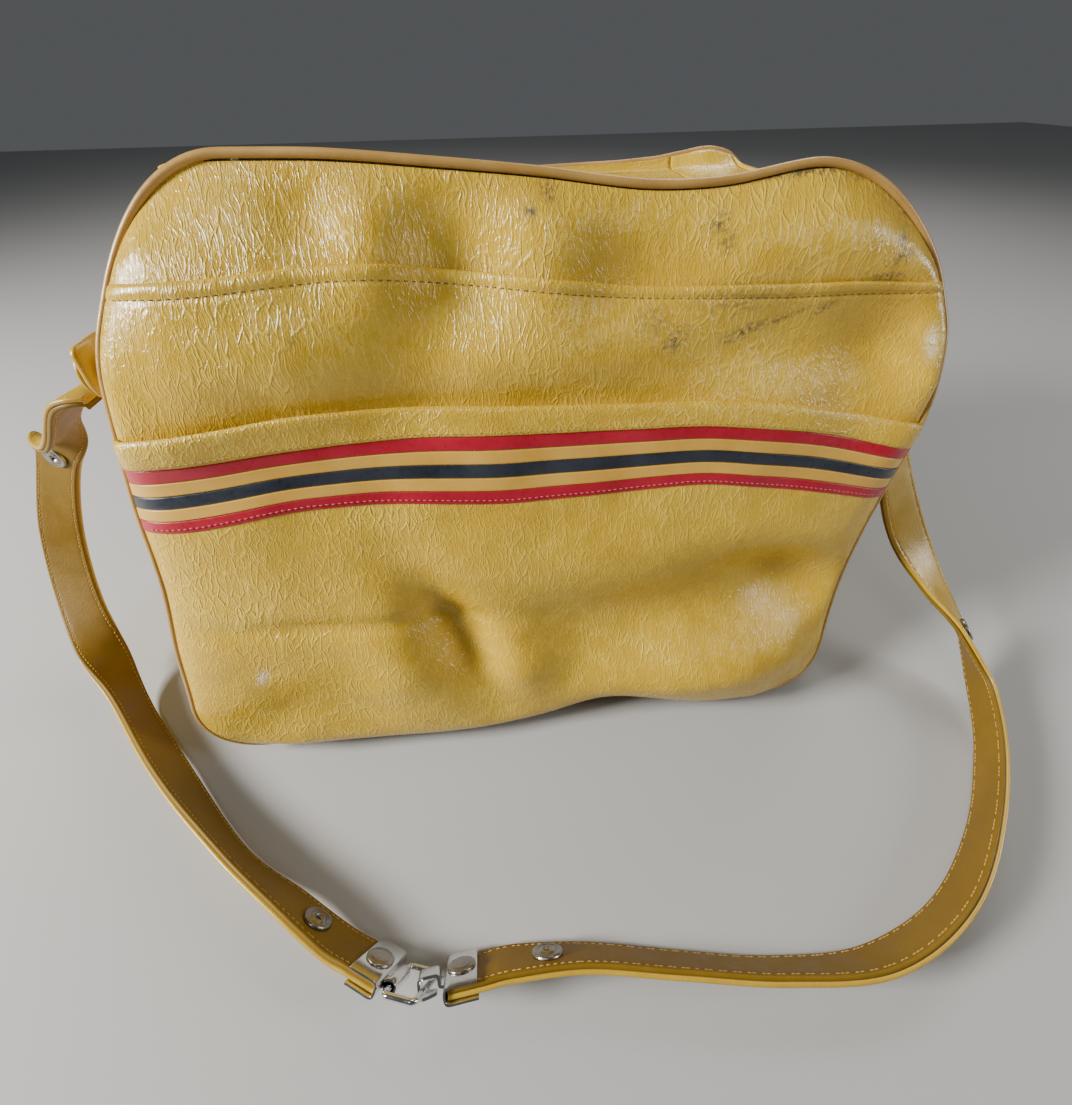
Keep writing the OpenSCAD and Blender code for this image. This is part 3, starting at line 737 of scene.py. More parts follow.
# the five colour bands
for key, mat, idx in (("stripe_crimson", M_RED, (0, 4)), ("stripe_gold", M_GOLD, (1, 3)),
                      ("stripe_navy", M_NAVY, (2,))):
    for i in idx:
        f0, f1 = i / 5 + 0.004, (i + 1) / 5 - 0.004

        def lo(u, f=f0):
            return BAND_B(u) * (1 - f) + BAND_T(u) * f

        def hi(u, f=f1):
            return BAND_B(u) * (1 - f) + BAND_T(u) * f

        b = np.r_[0, 0.02, 0.06, np.linspace(0.14, 0.86, 7), 0.94, 0.98, 1]
        U, V = region(lo, hi, 260, len(b), 2.0, b)
        edge = np.minimum(b, 1 - b)[:, None]
        o = gape(U, V) + 0.62 + 0.55 * np.sqrt(np.clip(1 - (1 - np.clip(edge / 0.06, 0, 1)) ** 2, 0, 1))
        s = grid("%s_%d" % (key, i), front(U, V, o), np.stack([U, V], -1), [mat], out=OUT_F)
        thick(s, 0.5)
        own(s, key)


def seam_points(curve, offset, lift, pitch, span=0.985, inset=3.0):
    us = np.linspace(-196, 196, 2000)
    vs = curve(us) + offset
    ok = np.abs(us) < half_width(vs, inset) * span
    us, vs = us[ok], vs[ok]
    P = front(us, vs, lift(us, vs))
    L = np.r_[0, np.cumsum(np.linalg.norm(np.diff(P, axis=0), axis=1))]
    out = []
    for s in np.arange(pitch, L[-1] - pitch, pitch):
        i = min(np.searchsorted(L, s), len(P) - 2)
        out.append((P[i] + rng.normal(0, 0.06, 3), P[min(i + 3, len(P) - 1)] - P[max(i - 3, 0)], OUT_F))
    return out


s = stitches("seam_stitches", seam_points(SEAM, -5.6, lambda u, v: -2.0 + 2.2 - 0.75, 3.6), M_THREAD, 2.5,
             0.42)
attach(s, "bag")
s = stitches("stripe_stitches", seam_points(BAND_B, 2.2, lambda u, v: gape(u, v) + 1.12, 3.0), M_THREADR,
             2.0, 0.3)
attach(s, "bag")
s = stitches("facing_stitches", seam_points(BAND_T, 1.6, lambda u, v: gape(u, v) + 0.6 + 1.3, 3.2,
                                            inset=3.0), M_THREAD2, 2.0, 0.3)
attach(s, "bag")

# ---------------------------------------------------------------- piping
PIPE_R = 1.8
op, on = outline()
P = front(op[:, 0], op[:, 1], 0.0, flat=True)
own(tube("piping_front_cord", P, PIPE_R, M_PIPE, closed=True, sides=16), "piping_front")
P = back(op[:, 0], op[:, 1], 0.0, flat=True)
own(tube("piping_back_cord", P, PIPE_R, M_PIPE, closed=True, sides=16), "piping_back")

# ---------------------------------------------------------------- back panel
U, V = region(cst(6.4), cst(FRONT_H - 2.4), 150, 120, 2.4, ease(120))
bk = grid("back_panel_vinyl", back(U, V, -0.6), np.stack([U + 700, V], -1), [M_VINYL, M_CLOTH],
          out=np.array([0, 1, 0]),
          attrs={"scuff": blots(U, V, [(-120, 40, 12, 3, 0.3), (90, 22, 20, 3, 0), (-170, 250, 4, 9, 0.3)])
                 * 0.7,
                 "chalk": np.zeros_like(U)})
thick(bk, 2.0, True)
own(bk, "back_panel")


# ---------------------------------------------------------------- gussets and base
def belt(sel, nt=70, side=0):
    p, n = op[sel], on[sel]
    A = front(p[:, 0], p[:, 1], -2.6, flat=True)
    B = back(p[:, 0], p[:, 1], -2.6, flat=True)
    t = ease(nt, 1.8)
    L = np.linalg.norm(B - A, axis=1)[:, None]
    T = t[None, :]
    e = (1 - np.exp(-T * L / 9)) * (1 - np.exp(-(1 - T) * L / 9))
    X = A[:, None, :] * (1 - T[..., None]) + B[:, None, :] * T[..., None]
    z = X[..., 2]
    y = X[..., 1]
    nx, nz = n[:, 0][:, None], n[:, 1][:, None]
    low = np.clip((205 - z) / 60, 0, 1)
    low = low * low * (3 - 2 * low)
    bulge = (5.2 + 7.5 * low * np.clip(z / 50, 0.2, 1)) * e
    wob = 1.5 * np.sin(y / 23 + z / 31) * np.sin(z / 27 + 1.3 * side) + 1.0 * np.sin(y / 13 - z / 41 + side)
    bulge = bulge + wob * e * low - 4.0 * low * e * np.exp(-((y - 20) / 34) ** 2 - ((z - 120) / 50) ** 2)
    X[..., 0] += nx * bulge
    bulge = bulge + 5.2 * e * np.exp(-((y + 24) / 34) ** 2 - ((z - 222) / 44) ** 2)
    up = np.clip(nz, 0, 1)
    X[..., 2] += np.where(nz < 0, nz * 3.6 * e, 0)
    drop = np.clip((168 - np.abs(X[..., 0])) / 50, 0, 1)
    X[..., 2] -= up * e * (6 + 10 * drop ** 1.5)
    ax = np.abs(p[:, 0])[:, None] + 0 * T
    plane = ZIP_Z + 2.6 + 0.10 * np.maximum(ax - 146, 0)
    flat = plane + (A[:, 2][:, None] - plane) * np.exp(-(T * L / 8) ** 1.6)
    flat = flat + (B[:, 2][:, None] - plane) * np.exp(-((1 - T) * L / 7) ** 1.6)
    k = np.clip((178 - ax) / 20, 0, 1) * np.clip((nz - 0.1) / 0.2, 0, 1)
    k = k * k * (3 - 2 * k)
    X[..., 2] = X[..., 2] * (1 - k) + np.minimum(flat, np.maximum(A[:, 2], B[:, 2])[:, None]) * k
    X[..., 2] = np.maximum(X[..., 2], 0.35)
    s = np.r_[0, np.cumsum(np.linalg.norm(np.diff(A, axis=0), axis=1))][:, None]
    return X, np.stack([T * L + 900 + 300 * side + 0 * s, s + 0 * T], -1)


for side, nm in ((-1, "left"), (1, "right")):
    sel = np.where((op[:, 0] * side > HALF_W - BASE_R
                    - 1) & ~((op[:, 1] > 226) & (np.abs(op[:, 0]) < 150)))[0]
    X, UV = belt(sel, side=side)
    g = grid("gusset_%s_vinyl" % nm, X, UV, [M_GUSSET, M_CLOTH], out=np.array([side, 0, 0]))
    thick(g, 2.0, True)
    own(g, "gusset_%s" % nm)

sel = np.where(op[:, 1] < 4.01)[0]
sel = sel[np.argsort(op[sel, 0])]
X, UV = belt(sel, 60)
X[..., 2] = np.maximum(X[..., 2], 0.3)
bt = grid("bottom_vinyl", X, UV, [M_GUSSET, M_CLOTH], out=np.array([0, 0, -1.0]))
thick(bt, 1.8, True)
own(bt, "bottom_panel")

# ---------------------------------------------------------------- zip top
# half length of the flaps, how far the zip ends reach, and the fold lines of the two strips
FLAP_X, END_X, FOLD_FRONT, FOLD_BACK = 115, 158, -28.5, 122.4
xs = np.linspace(-FLAP_X, FLAP_X, 90)
e0 = front(xs, np.full_like(xs, FRONT_H), -2.8, flat=True)
e1 = back(xs, np.full_like(xs, FRONT_H), -2.8, flat=True)
for edge, y1, nm, outv in ((e0, FOLD_FRONT, "front", (0, 1, 1)), (e1, FOLD_BACK, "back", (0, -1, 1))):
    t = np.linspace(0, 1, 14)[:, None]
    X = np.zeros((14, len(xs), 3))
    X[..., 0] = edge[None, :, 0] * (1 - t) + xs[None] * t
    X[..., 1] = edge[None, :, 1] * (1 - t ** 2.2) + y1 * t ** 2.2
    X[..., 2] = edge[None, :, 2] * (1 - t) + (ZIP_Z + 1.9) * t - 2.0 * np.sin(t * math.pi) * 0.6
    UV = np.stack([xs[None] + 0 * t, 40 * t + 0 * xs[None]], -1)
    o = grid("top_strip_%s_vinyl" % nm, X, UV, [M_GUSSET, M_CLOTH], out=np.array(outv, float))
    thick(o, 1.2, True)
    own(o, "top_strip_%s" % nm)

for nm, ya, yb, body in (("front", -26.4, ZIP_Y - 11, "front_flap"),
                         ("back", ZIP_Y + 11, 120.4, "rear_flap")):
    nx, ny = 110, 46
    A, B = np.meshgrid(np.linspace(-FLAP_X, FLAP_X, nx), np.linspace(0, 1, ny))
    Y = ya + (yb - ya) * B
    hem = B if nm == "front" else 1 - B
    edge = (1 - hem) * 62
    Z = ZIP_Z + 1.2 + 0.9 * fold(edge, 1.0, 1.6) + 0.6 * np.exp(-((edge - 4) / 3.5) ** 2)
    Z = Z - 0.55 * np.exp(-((edge - 7.5) / 0.9) ** 2)
    Z = Z + (0.8 * np.sin(A / 21 + Y / 17) * np.sin(A / 34)
             - 1.4 * np.exp(-((hem - 0.45) / 0.25) ** 2)) * np.clip(edge / 12, 0, 1)
    o = grid("top_flap_%s_vinyl" % nm, np.stack([A, Y, Z], -1), np.stack([A, Y], -1), [M_GUSSET, M_CLOTH],
             out=np.array([0, 0, 1.0]))
    thick(o, 1.5, True)
    own(o, "top_flap_%s" % nm, body)
    ys = (ZIP_Y - 18.5) if nm == "front" else (ZIP_Y + 18.5)
    pts = [((x, ys, ZIP_Z + 1.95), (1, 0, 0), (0, 0, 1)) for x in np.arange(-112, 112, 3.4)]
    own(stitches("zip_stitches_%s" % nm, pts, M_THREAD2, 2.4, 0.38), None, body)

for side, nm in ((-1, "left"), (1, "right")):
    nx, ny = 26, 90
    A, B = np.meshgrid(np.linspace(FLAP_X + 0.3, END_X, nx), np.linspace(0, 1, ny), indexing="ij")
    fe = front(side * A[:, 0], np.full(nx, FRONT_H) - np.maximum(A[:, 0] - 122, 0) ** 2 / 150, -3.2,
               flat=True)
    be = back(side * A[:, 0], np.full(nx, FRONT_H) - np.maximum(A[:, 0] - 122, 0) ** 2 / 150, -3.2, flat=True)
    Y = fe[:, 1][:, None] * (1 - B) + be[:, 1][:, None] * B
    df, db = Y - fe[:, 1][:, None], be[:, 1][:, None] - Y
    plane = ZIP_Z + 1.9 + 0.10 * np.maximum(A - 146, 0)
    kf, kb = np.exp(-(df / 8.0) ** 1.6), np.exp(-(db / 7.0) ** 1.6)
    Z = plane + (fe[:, 2][:, None] - plane) * kf + (be[:, 2][:, None] - plane) * kb
    tf = np.clip(df / np.maximum(FOLD_FRONT - fe[:, 1][:, None], 3), 0, 1) ** (1 / 2.2)
    tb = np.clip(db / np.maximum(be[:, 1][:, None] - FOLD_BACK, 3), 0, 1) ** (1 / 2.2)
    strip = ZIP_Z + 1.9 + (fe[:, 2][:, None] - ZIP_Z - 1.9) * (1 - tf) + (be[:, 2][:, None] - ZIP_Z
            - 1.9) * (1 - tb)
    strip = strip - 1.2 * (np.sin(tf * math.pi) + np.sin(tb * math.pi))
    k = np.clip((140 - A) / 24.7, 0, 1)
    k = k * k * (3 - 2 * k)
    Z = Z * (1 - k) + strip * k
    hole = (np.abs(Y - ZIP_Y) < 10.5) & (A < 144)
    k = np.clip((A - 142) / 12, 0, 1)
    k = k * k * (3 - 2 * k)
    pulled = fe[:, 0][:, None] * (1 - B) + be[:, 0][:, None] * B
    X = np.stack([side * A * (1 - k) + pulled * k, Y, Z], -1)
    o = grid("zip_end_%s_vinyl" % nm, X, np.stack([A, Y], -1), [M_GUSSET, M_CLOTH],
             out=np.array([0, 0, 1.0]), holes=hole[:-1, :-1])
    thick(o, 1.4, True)
    own(o, "zip_end_%s" % nm)

# tape running out under the ends of the zip
for side, nm in ((-1, "left"), (1, "right")):
    for k, (y0, y1, z) in enumerate(((-11.6, -4.9, 273.0), (4.9, 11.6, 273.0), (-12.0, 12.0, 268.6))):
        A, B = np.meshgrid(np.linspace(114.6, 148, 30), np.linspace(y0, y1, 8))
        o = grid("zip_tape_end_%s_%d" % (nm, k),
                 np.stack([side * A, ZIP_Y + B, z + 0.15 * np.sin(A / 3) + 0 * B], -1),
                 np.stack([A, B], -1), [M_CLOTH], out=np.array([0, 0, 1.0]))
        thick(o, 0.5)
        own(o, None)

# ---------------------------------------------------------------- shoulder strap
def turn(a, i, j):
    """rotation by a degrees from axis i towards axis j"""
    a = math.radians(a)
    m = np.eye(3)
    m[i, i] = m[j, j] = math.cos(a)
    m[i, j], m[j, i] = -math.sin(a), math.sin(a)
    return m


# the clasp leans on its edge; its halves turn apart and fold about the two bars of the ring
CLASP = np.array([-86, -251.5, 17.2])
CLASP_YAW, CLASP_TILT, CLASP_HALF, CLASP_FOLD = -13, 59, 10, 14
BAR_NEAR, BAR_FAR = np.array([-7.0, 0, 0]), np.array([9.05, 0, 0])
MID_R = turn(CLASP_YAW, 0, 1) @ turn(-CLASP_TILT, 1, 2)
LEFT_MID, RIGHT_MID = MID_R @ turn(-CLASP_HALF, 0, 1), MID_R @ turn(CLASP_HALF, 0, 1)
LEFT_R, RIGHT_R = LEFT_MID @ turn(CLASP_FOLD, 2, 0), RIGHT_MID @ turn(-CLASP_FOLD, 2, 0)
LEFT_O = CLASP + LEFT_MID @ BAR_NEAR - LEFT_R @ BAR_NEAR
RIGHT_O = CLASP + RIGHT_MID @ BAR_FAR - RIGHT_R @ BAR_FAR


def left_clasp(x):
    return (LEFT_O + LEFT_R @ np.array([x, 0, 0])).tolist()


def right_clasp(x):
    return (RIGHT_O + RIGHT_R @ np.array([x, 0, 0])).tolist()


LU, RU = (-LEFT_R[:, 2]).tolist(), (-RIGHT_R[:, 2]).tolist()
# The strap's route and face directions, the same numbers as in part.scad. They are the output of a
# scratch script that fitted the strap to its edges in the photo, with some heights changed by hand.
LEFT = np.array([[-215.8, -28, 213], [-230, -27, 212], [-265, -6, 183], [-304, 26, 150], [-330, 15, 96],
                 [-325, -22, 47.5], [-292, -72, 17], [-240, -132, 15], [-190, -182, 16], [-150, -212, 17.8],
                 left_clasp(-44), left_clasp(-28), left_clasp(-12)], float)
LEFT_N = np.array([[-0.1, 0, 1], [-0.3, 0.05, 0.95], [-0.64, 0.03, 0.77], [0.32, 0.95, 0],
                   [-0.04, 0.91, -0.41],
                   [-0.15, 0.63, -0.76], [-0.74, -0.43, -0.51], [-0.64, -0.59, -0.5], [-0.63, -0.72, -0.28],
                   [-0.54, -0.72, -0.45], LU, LU, LU], float)
RIGHT = np.array([right_clasp(18.3), right_clasp(34), right_clasp(49.7), [-1, -252, 14.5], [42, -260, 14.3],
                  [89, -268, 14.3], [139, -270, 14.3], [189, -254, 15], [234, -221, 15], [271, -180, 15],
                  [291, -142, 21], [285, -113, 45], [274, -84, 64], [255, -57, 96], [233, -38, 148],
                  [215.8, -28, 215]], float)
RIGHT_N = np.array([RU, RU, RU, [-0.11, -0.89, -0.44], [-0.16, -0.9, -0.41], [-0.1, -0.91, -0.4],
                    [0.13, -0.89, -0.43], [0.44, -0.85, -0.29], [0.66, -0.74, -0.11], [0.81, -0.58, -0.04],
                    [0.95, -0.26, 0.15], [0.72, -0.27, 0.64], [0.36, -0.51, 0.78], [0.08, -0.86, 0.51],
                    [0.48, -0.8, 0.35], [1, 0, 0]], float)
# width, thickness of one layer, and steps between two points of the route
STRAP_W, LAYER, PER_SPAN = 27.0, 2.3, 22


def cr(P, k):
    """point k on the smooth curve through P"""
    n = len(P)
    i = min(int(k), n - 2)
    t = k - i
    p1, p2 = P[i], P[i + 1]
    p0 = P[i - 1] if i > 0 else 2 * P[0] - P[1]
    p3 = P[i + 2] if i + 2 < n else 2 * P[-1] - P[-2]
    return 0.5 * (2 * p1 + (p2 - p0) * t + (2 * p0 - 5 * p1 + 4 * p2 - p3) * t * t
                  + (3 * p1 - p0 - 3 * p2 + p3) * t ** 3)


def stations(P, N):
    """centre, direction, face and width vectors along the strap"""
    out = []
    n = len(P) - 1
    for k in np.linspace(0, n, n * PER_SPAN + 1):
        c = cr(P, k)
        t = cr(P, min(k + 0.04, n)) - cr(P, max(k - 0.04, 0))
        t /= np.linalg.norm(t)
        f = cr(N, k)
        f = f - t * f.dot(t)
        f /= np.linalg.norm(f)
        out.append((c, t, f, np.cross(t, f)))
    return out


def section(w, t, side):
    """closed section, half width across and depth out, with turned edges and a stitch groove"""
    h = w / 2
    top = []
    for x in (-h + 0.05, -h + 0.35, -h + 1.0, -h + 2.0, -h + 2.5, -h + 3.0, -h + 4.2, -h * 0.5, 0, h * 0.5,
              h - 4.2,
              h - 3.0, h - 2.5, h - 2.0, h - 1.0, h - 0.35, h - 0.05):
        e = h - abs(x)
        z = t * (0.55 + 0.45 * math.sqrt(max(0, 1 - (1 - min(e / 1.2, 1)) ** 2)))
        z -= 0.22 * math.exp(-((e - 2.5) / 0.45) ** 2)
        z += 0.12 * math.exp(-((e - 1.2) / 0.8) ** 2)
        top.append((x, z))
    return [(x, z * side) for x, z in top] + [(h - 0.2, 0.12 * side), (-h + 0.2, 0.12 * side)]


def strap_piece(name, P, N, side, mat, node):
    st = stations(P, N)
    L, rowsn = 0, 0
    V, UV, prev = [], [], None
    for c, _, f, w in st:
        L += 0 if prev is None else np.linalg.norm(c - prev)
        prev = c
        ww = STRAP_W - 0.4 + 0.25 * math.sin(L / 37) + 0.15 * math.sin(L / 11)
        sec = section(ww, LAYER, side)
        for x, z in sec:
            q = c + w * x + f * (z + 0.05 * side)
            V.append(q)
            UV.append((L, x + 200 * side))
        rowsn = len(sec)
    n = len(st)
    F = []
    for i in range(n - 1):
        for j in range(rowsn):
            k = (j + 1) % rowsn
            F.append((i * rowsn + j, i * rowsn + k, (i + 1) * rowsn + k, (i + 1) * rowsn + j))
    F.append(tuple(range(rowsn)))
    F.append(tuple((n - 1) * rowsn + j for j in range(rowsn))[::-1])
    if side < 0:
        F = [g[::-1] for g in F]
    V = np.array(V)
    V[:, 2] = np.maximum(V[:, 2], 0.25)
    own(mesh_obj(name, V * MM, F, [mat], np.array(UV) * MM), node, "strap")
    return st


def strap_stitch(name, st, mat):
    C = np.array([s[0] for s in st])
    L = np.r_[0, np.cumsum(np.linalg.norm(np.diff(C, axis=0), axis=1))]
    pts = []
    for s in np.arange(4, L[-1] - 3, 3.3):
        i = min(np.searchsorted(L, s), len(st) - 1)
        c, t, f, w = st[i]
        for x in (-1, 1):
            for sd in (-1, 1):
                pts.append((c + w * x * (STRAP_W / 2 - 2.7) + f * sd * (LAYER - 0.12), t, f * sd))
    own(stitches(name, pts, mat, 2.3, 0.34, 0.0), None, "strap")


sl = strap_piece("strap_left_vinyl", LEFT, LEFT_N, 1, M_STRAP, "strap_left")
strap_piece("strap_left_inner", LEFT, LEFT_N, -1, M_INNER_SHADED, "strap_left_backing")
sr = strap_piece("strap_right_vinyl", RIGHT, RIGHT_N, 1, M_STRAP, "strap_right")
strap_piece("strap_right_inner", RIGHT, RIGHT_N, -1, M_INNER_SHADED, "strap_right_backing")
strap_stitch("strap_left_stitches", sl, M_THREAD2)
strap_stitch("strap_right_stitches", sr, M_THREAD2)

# press studs: a rim, a groove, an inner ring, and a near-black disc in the well as painted shade
STUD = [(0, 0.55), (1.5, 0.55), (1.9, 1.5), (2.6, 2.0), (3.6, 1.9), (4.3, 1.25), (5.2, 1.1), (5.9, 1.5),
        (6.7, 1.75),
        (7.3, 1.35), (7.6, 0.5), (7.6, -0.6), (0, -0.6)]

WELL = [(0, 0.65), (1.55, 0.65), (1.55, 0.3), (0, 0.3)]
STUD_BACK = [(0, 0.9), (3.5, 0.8), (5.0, 0.5), (5.6, 0.0), (5.6, -0.5), (0, -0.5)]


def disc_place(st, k, side, lift):
    c, t, f = st[int(k * PER_SPAN)][:3]
    n = Vector(f * side)
    x = Vector(t).normalized()
    y = n.cross(x)
    m = Matrix((x, y, n)).transposed().to_4x4()
    return Matrix.Translation(Vector((c + f * side * lift) * MM)) @ m


parts, wells = [], []
for st, k, sd in ((sl, 3, -1), (sl, 9.5, -1), (sr, 2.5, -1), (sr, 11, 1)):
    pl = disc_place(st, k, sd, LAYER + 0.2)
    parts.append(lathe(STUD, pl))
    wells.append(lathe(WELL, pl))
    back_pl = disc_place(st, k, -sd, LAYER + 0.15)
    parts.append(lathe(STUD_BACK, back_pl))
own(join_parts("strap_stud_caps", parts, M_STUD), "strap_studs", "strap")
own(join_parts("strap_stud_wells", wells, M_WELL_SHADE), None, "strap")

# ---------------------------------------------------------------- clasp
def place(o, r):
    return Matrix.Translation(Vector(o * MM)) @ Matrix(r.tolist()).to_4x4()


CL, CR = place(LEFT_O, LEFT_R), place(RIGHT_O, RIGHT_R)


def sheet_sweep(name, path, t, widths, place, mat, bev=0.25):
    """bent sheet metal: path of (x, z) in mm, swept across y"""
    P = np.array(path, float)
    for _ in range(3):
        Q = [P[0]]
        for a, b in zip(P[:-1], P[1:]):
            Q += [a * 0.75 + b * 0.25, a * 0.25 + b * 0.75]
        Q.append(P[-1])
        P = np.array(Q)
    T = np.gradient(P, axis=0)
    T /= np.linalg.norm(T, axis=1)[:, None]
    Nn = np.stack([-T[:, 1], T[:, 0]], 1)
    u = np.linspace(0, 1, len(P))
    V, F = [], []
    for p, n, q in zip(P, Nn, u):
        h = widths(q) / 2
        for sx, sz in ((-1, -1), (1, -1), (1, 1), (-1, 1)):
            V.append(place @ Vector(((p[0] + n[0] * t / 2 * sz) * MM, h * sx * MM,
                                     (p[1] + n[1] * t / 2 * sz) * MM)))
    for i in range(len(P) - 1):
        for j in range(4):
            k = (j + 1) % 4
            F.append((i * 4 + j, i * 4 + k, i * 4 + 4 + k, i * 4 + 4 + j))
    F.append((0, 1, 2, 3))
    F.append(tuple(4 * (len(P) - 1) + j for j in (3, 2, 1, 0)))
    o = mesh_obj(name, V, F, [mat], np.zeros((len(V), 2)))
    b = o.modifiers.new("bevel", "BEVEL")
    b.width = bev * MM
    b.segments = 2
    b.limit_method = "ANGLE"
    b.angle_limit = math.radians(50)
    return o


# the plates are one folded sheet and its mirror image
PLATE_W, PLATE_T = 29.5, 1.0
PLATE = [(-26, 3.35), (-22, 3.35), (-16, 3.4), (-12, 3.4), (-10.9, 2.2), (-10.6, 0), (-10.9, -2.2),
         (-12, -3.4),
         (-16, -3.4), (-22, -3.35), (-26, -3.35)]
left_plate = sheet_sweep("clasp_plate_left_chrome", PLATE, PLATE_T, lambda q: PLATE_W, CL, M_CHROME)
own(left_plate, "clasp_plate_left", "strap")
loop = sheet_sweep("clasp_barrel", [(-10.4, -1.2), (-8.6, -2.6), (-6.6, -2.8), (-4.5, -1.8), (-4.2, 0),
                                    (-4.5, 1.8), (-6.6, 2.8),
                   (-8.6, 2.6), (-10.4, 1.2)], 0.9, lambda q: 14.0, CL, M_CHROME)
own(loop, None, "strap")
right_plate = sheet_sweep("clasp_plate_right_chrome", [(6 - x, z) for x, z in PLATE], PLATE_T,
                          lambda q: PLATE_W,
                          CR, M_CHROME)
own(right_plate, "clasp_plate_right", "strap")
RIV = [(0, 1.5), (2.2, 1.45), (4.0, 1.3), (4.9, 1.2), (5.3, 0.95), (5.8, 1.0), (6.4, 0.9), (6.8, 0.5),
       (6.8, -0.4), (0, -0.4)]
parts = [lathe(RIV, CL @ Matrix.Translation((-0.0185, 0, 0.0042))),
         lathe(RIV, CR @ Matrix.Translation((0.0245, 0, 0.0042)))]
own(join_parts("clasp_rivet_caps", parts, M_STUD), "clasp_rivets", "strap")
hook = sheet_sweep("clasp_hook_chrome", [(17.2, -0.7), (15, -0.8), (13.8, -0.4), (13.8, 2), (13.4, 4.2),
                                         (11, 4.3), (7, 4.3),
                   (4.6, 4.1), (4.4, 1), (4.4, -2), (4.8, -4.1), (7, -4.3), (10, -4.2), (12.2, -3.9)], 1.4,
                   lambda q: 7.5 if q < 0.75 else 7.5 - 22 * (q - 0.75), CR, M_CHROME)
own(hook, "clasp_hook", "strap")

# ---------------------------------------------------------------- strap tabs, ends and rivets
PIV_Y, PIV_Z = -28.0, 224.0


def patch(name, outline2d, x0, x1, side, mat, crown=0.5):
    """flat leather patch standing on the gusset: outline in (y, z), rounded rim"""
    C = np.array(outline2d, float)
    ctr = C.mean(0)
    rings = [(1.0, 0.0), (1.0, 0.55), (0.985, 0.85), (0.955, 1.0), (0.90, 1.0), (0.86, 0.93), (0.82, 1.0),
             (0.4, 1.0 + crown * 0.3), (0.02, 1.0 + crown * 0.35)]
    V, F, UV = [], [], []
    for s, d in rings:
        for p in C:
            q = ctr + (p - ctr) * s
            V.append(((x0 + (x1 - x0) * d) * side * MM, q[0] * MM, q[1] * MM))
            UV.append((q[0] * MM + 0.5, q[1] * MM))
    n = len(C)
    for i in range(len(rings) - 1):
        for j in range(n):
            k = (j + 1) % n
            F.append((i * n + j, i * n + k, (i + 1) * n + k, (i + 1) * n + j))
    F.append(tuple(range(n))[::-1])
    F.append(tuple((len(rings) - 1) * n + j for j in range(n)))
    if side < 0:
        F = [g[::-1] for g in F]
    return mesh_obj(name, V, F, [mat], UV)


def tab_outline(w, top, r):
    pts = []
    for a in np.linspace(math.pi, 2 * math.pi, 30):
        pts.append((PIV_Y + r * math.cos(a), PIV_Z + r * math.sin(a)))
    for cx, a0 in ((w - 4, 0), (-w + 4, math.pi / 2)):
        for a in np.linspace(a0, a0 + math.pi / 2, 8):
            pts.append((PIV_Y + cx + 4 * math.cos(a), PIV_Z + top - 4 + 4 * math.sin(a)))
    return pts


for side, nm in ((-1, "left"), (1, "right")):
    o = patch("strap_tab_%s_vinyl" % nm, tab_outline(12.5, 15, 13.5), 206.9, 210.1, side, M_STRAP)
    own(o, "strap_tab_%s" % nm)
    C = np.array(tab_outline(10.2, 12.7, 11.2))
    L = np.r_[0, np.cumsum(np.linalg.norm(np.diff(np.r_[C, C[:1]], axis=0), axis=1))]
    pts = []
    for s in np.arange(0, L[-1] - 1.5, 3.2):
        i = min(np.searchsorted(L, s, side="right") - 1, len(C) - 1)
        a, b = C[i], C[(i + 1) % len(C)]
        q = a + (b - a) * (s - L[i]) / max(L[i + 1] - L[i], 1e-6)
        pts.append(((side * 210.1, q[0], q[1]), (0, b[0] - a[0], b[1] - a[1]), (side, 0, 0)))
    own(stitches("strap_tab_%s_stitches" % nm, pts, M_THREAD2, 2.2, 0.34), None)
    circ = [(PIV_Y + 12.2 * math.cos(a), PIV_Z + 12.2 * math.sin(a)) for a in np.linspace(0, 2 * math.pi,
            40, endpoint=False)]
    o = patch("strap_end_%s_vinyl" % nm, circ, 210.9, 213.1, side, M_STRAP, crown=0.2)
    own(o, "strap_end_%s" % nm, "strap")
HEAD = [(0, 2.0), (3.0, 1.9), (5.2, 1.5), (6.4, 0.9), (7.0, 0.2), (6.9, -0.3), (2.9, -0.3), (2.9, -4.2),
        (0, -4.2)]
parts = []
for side in (-1, 1):
    m = Matrix.Translation((side * 0.2139, PIV_Y * MM,
                            PIV_Z * MM)) @ Matrix.Rotation(math.radians(90 * side), 4, "Y")
    parts.append(lathe(HEAD, m))
own(join_parts("strap_rivet_heads", parts, M_CHROME), "strap_rivets", "bag")

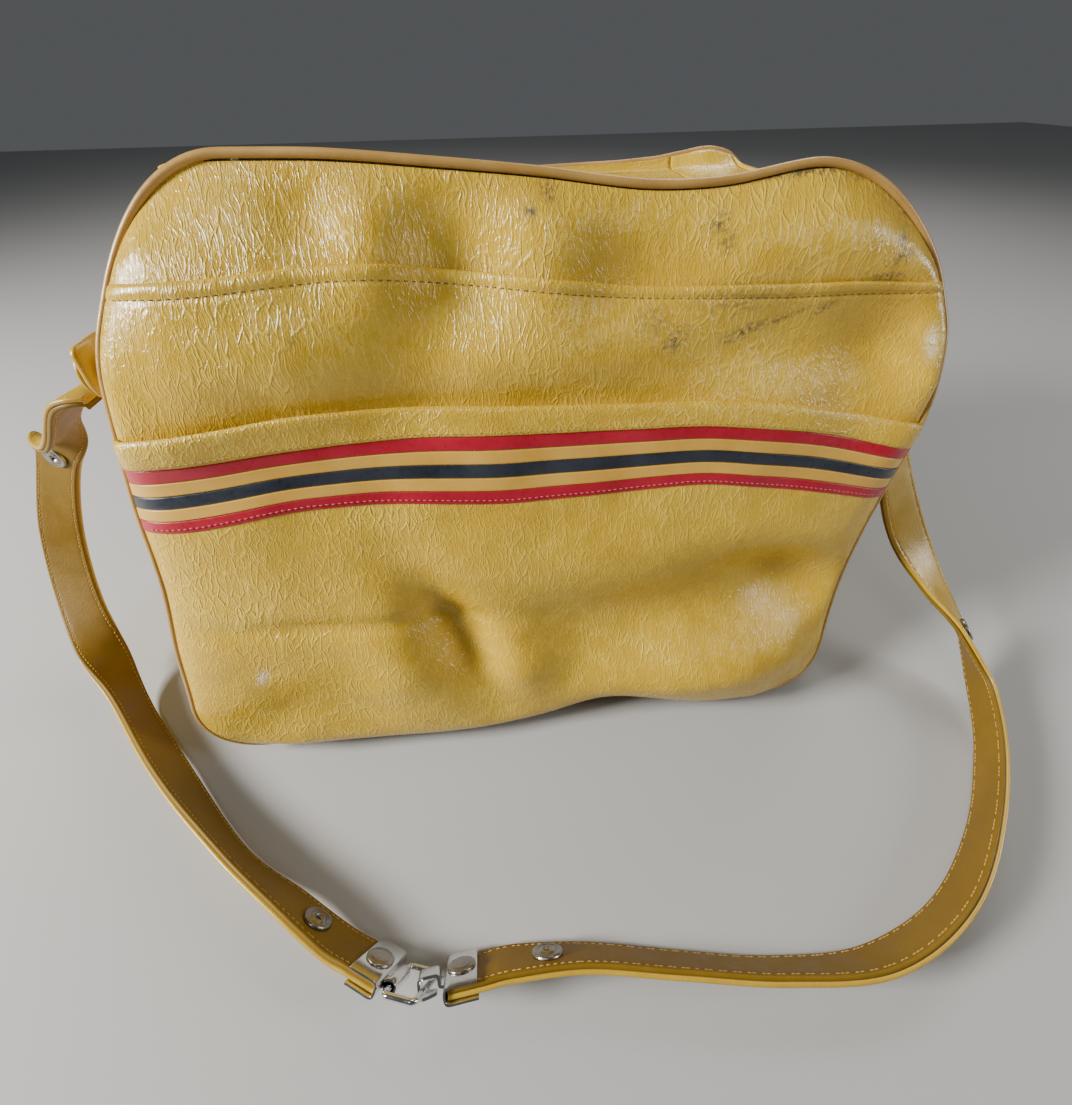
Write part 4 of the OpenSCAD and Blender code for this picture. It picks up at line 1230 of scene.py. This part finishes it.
# ---------------------------------------------------------------- carried-over CAD nodes
for nm, mat in (("zip_tape_front", M_TAPE), ("zip_tape_back", M_TAPE), ("zip_teeth_front", M_ZIPM),
                ("zip_teeth_back", M_ZIPM),
                ("zip_stops", M_ZIPM), ("zip_slider", M_ZIPM), ("zip_pull", M_ZIPM), ("base_board", M_BOARD),
                ("ball_cradle", M_CRADLE), ("clasp_ring", M_CHROME)):
    ob = NODES[nm]
    if not ob.material_slots:
        ob.data.materials.append(mat)
    for s in ob.material_slots:
        s.material = mat

# ---------------------------------------------------------------- floor and light
me = bpy.data.meshes.new("floor")
me.from_pydata([(-4, -4, 0), (4, -4, 0), (4, 4, 0), (-4, 4, 0)], [], [(0, 1, 2, 3)])
mf, nt, b = nodes_of("floor_pale")
b.inputs["Base Color"].default_value = (0.40, 0.40, 0.396, 1)
b.inputs["Roughness"].default_value = 0.75
me.materials.append(mf)
floor = link(bpy.data.objects.new("floor", me))

world = bpy.data.worlds.new("world")
bpy.context.scene.world = world
world.use_nodes = True
bg = world.node_tree.nodes["Background"]
bg.inputs[0].default_value = (0.82, 0.86, 0.90, 1)
bg.inputs[1].default_value = 0.11


def area(name, loc, target, size, power, color=(1, 1, 1)):
    d = bpy.data.lights.new(name, "AREA")
    d.shape = "RECTANGLE"
    d.size, d.size_y = size
    d.energy = power
    d.color = color
    o = link(bpy.data.objects.new(name, d))
    o.location = loc
    o.rotation_euler = (Vector(target) - Vector(loc)).to_track_quat("-Z", "Y").to_euler()
    return o


area("window_left", (-1.5, -0.32, 0.88), (0, -0.08, 0.16), (0.42, 0.42), 66, (1.0, 0.97, 0.92))
area("window_back", (0.8, 1.2, 1.7), (0, 0, 0.15), (0.9, 0.7), 16, (1.0, 0.97, 0.92))
area("front_right", (1.3, -0.42, 0.60), (0.12, -0.05, 0.22), (0.30, 0.6), 9, (1.0, 0.98, 0.94))
area("overhead", (-0.5, -0.7, 1.7), (-0.1, 0, 0.15), (0.5, 0.5), 2.5)
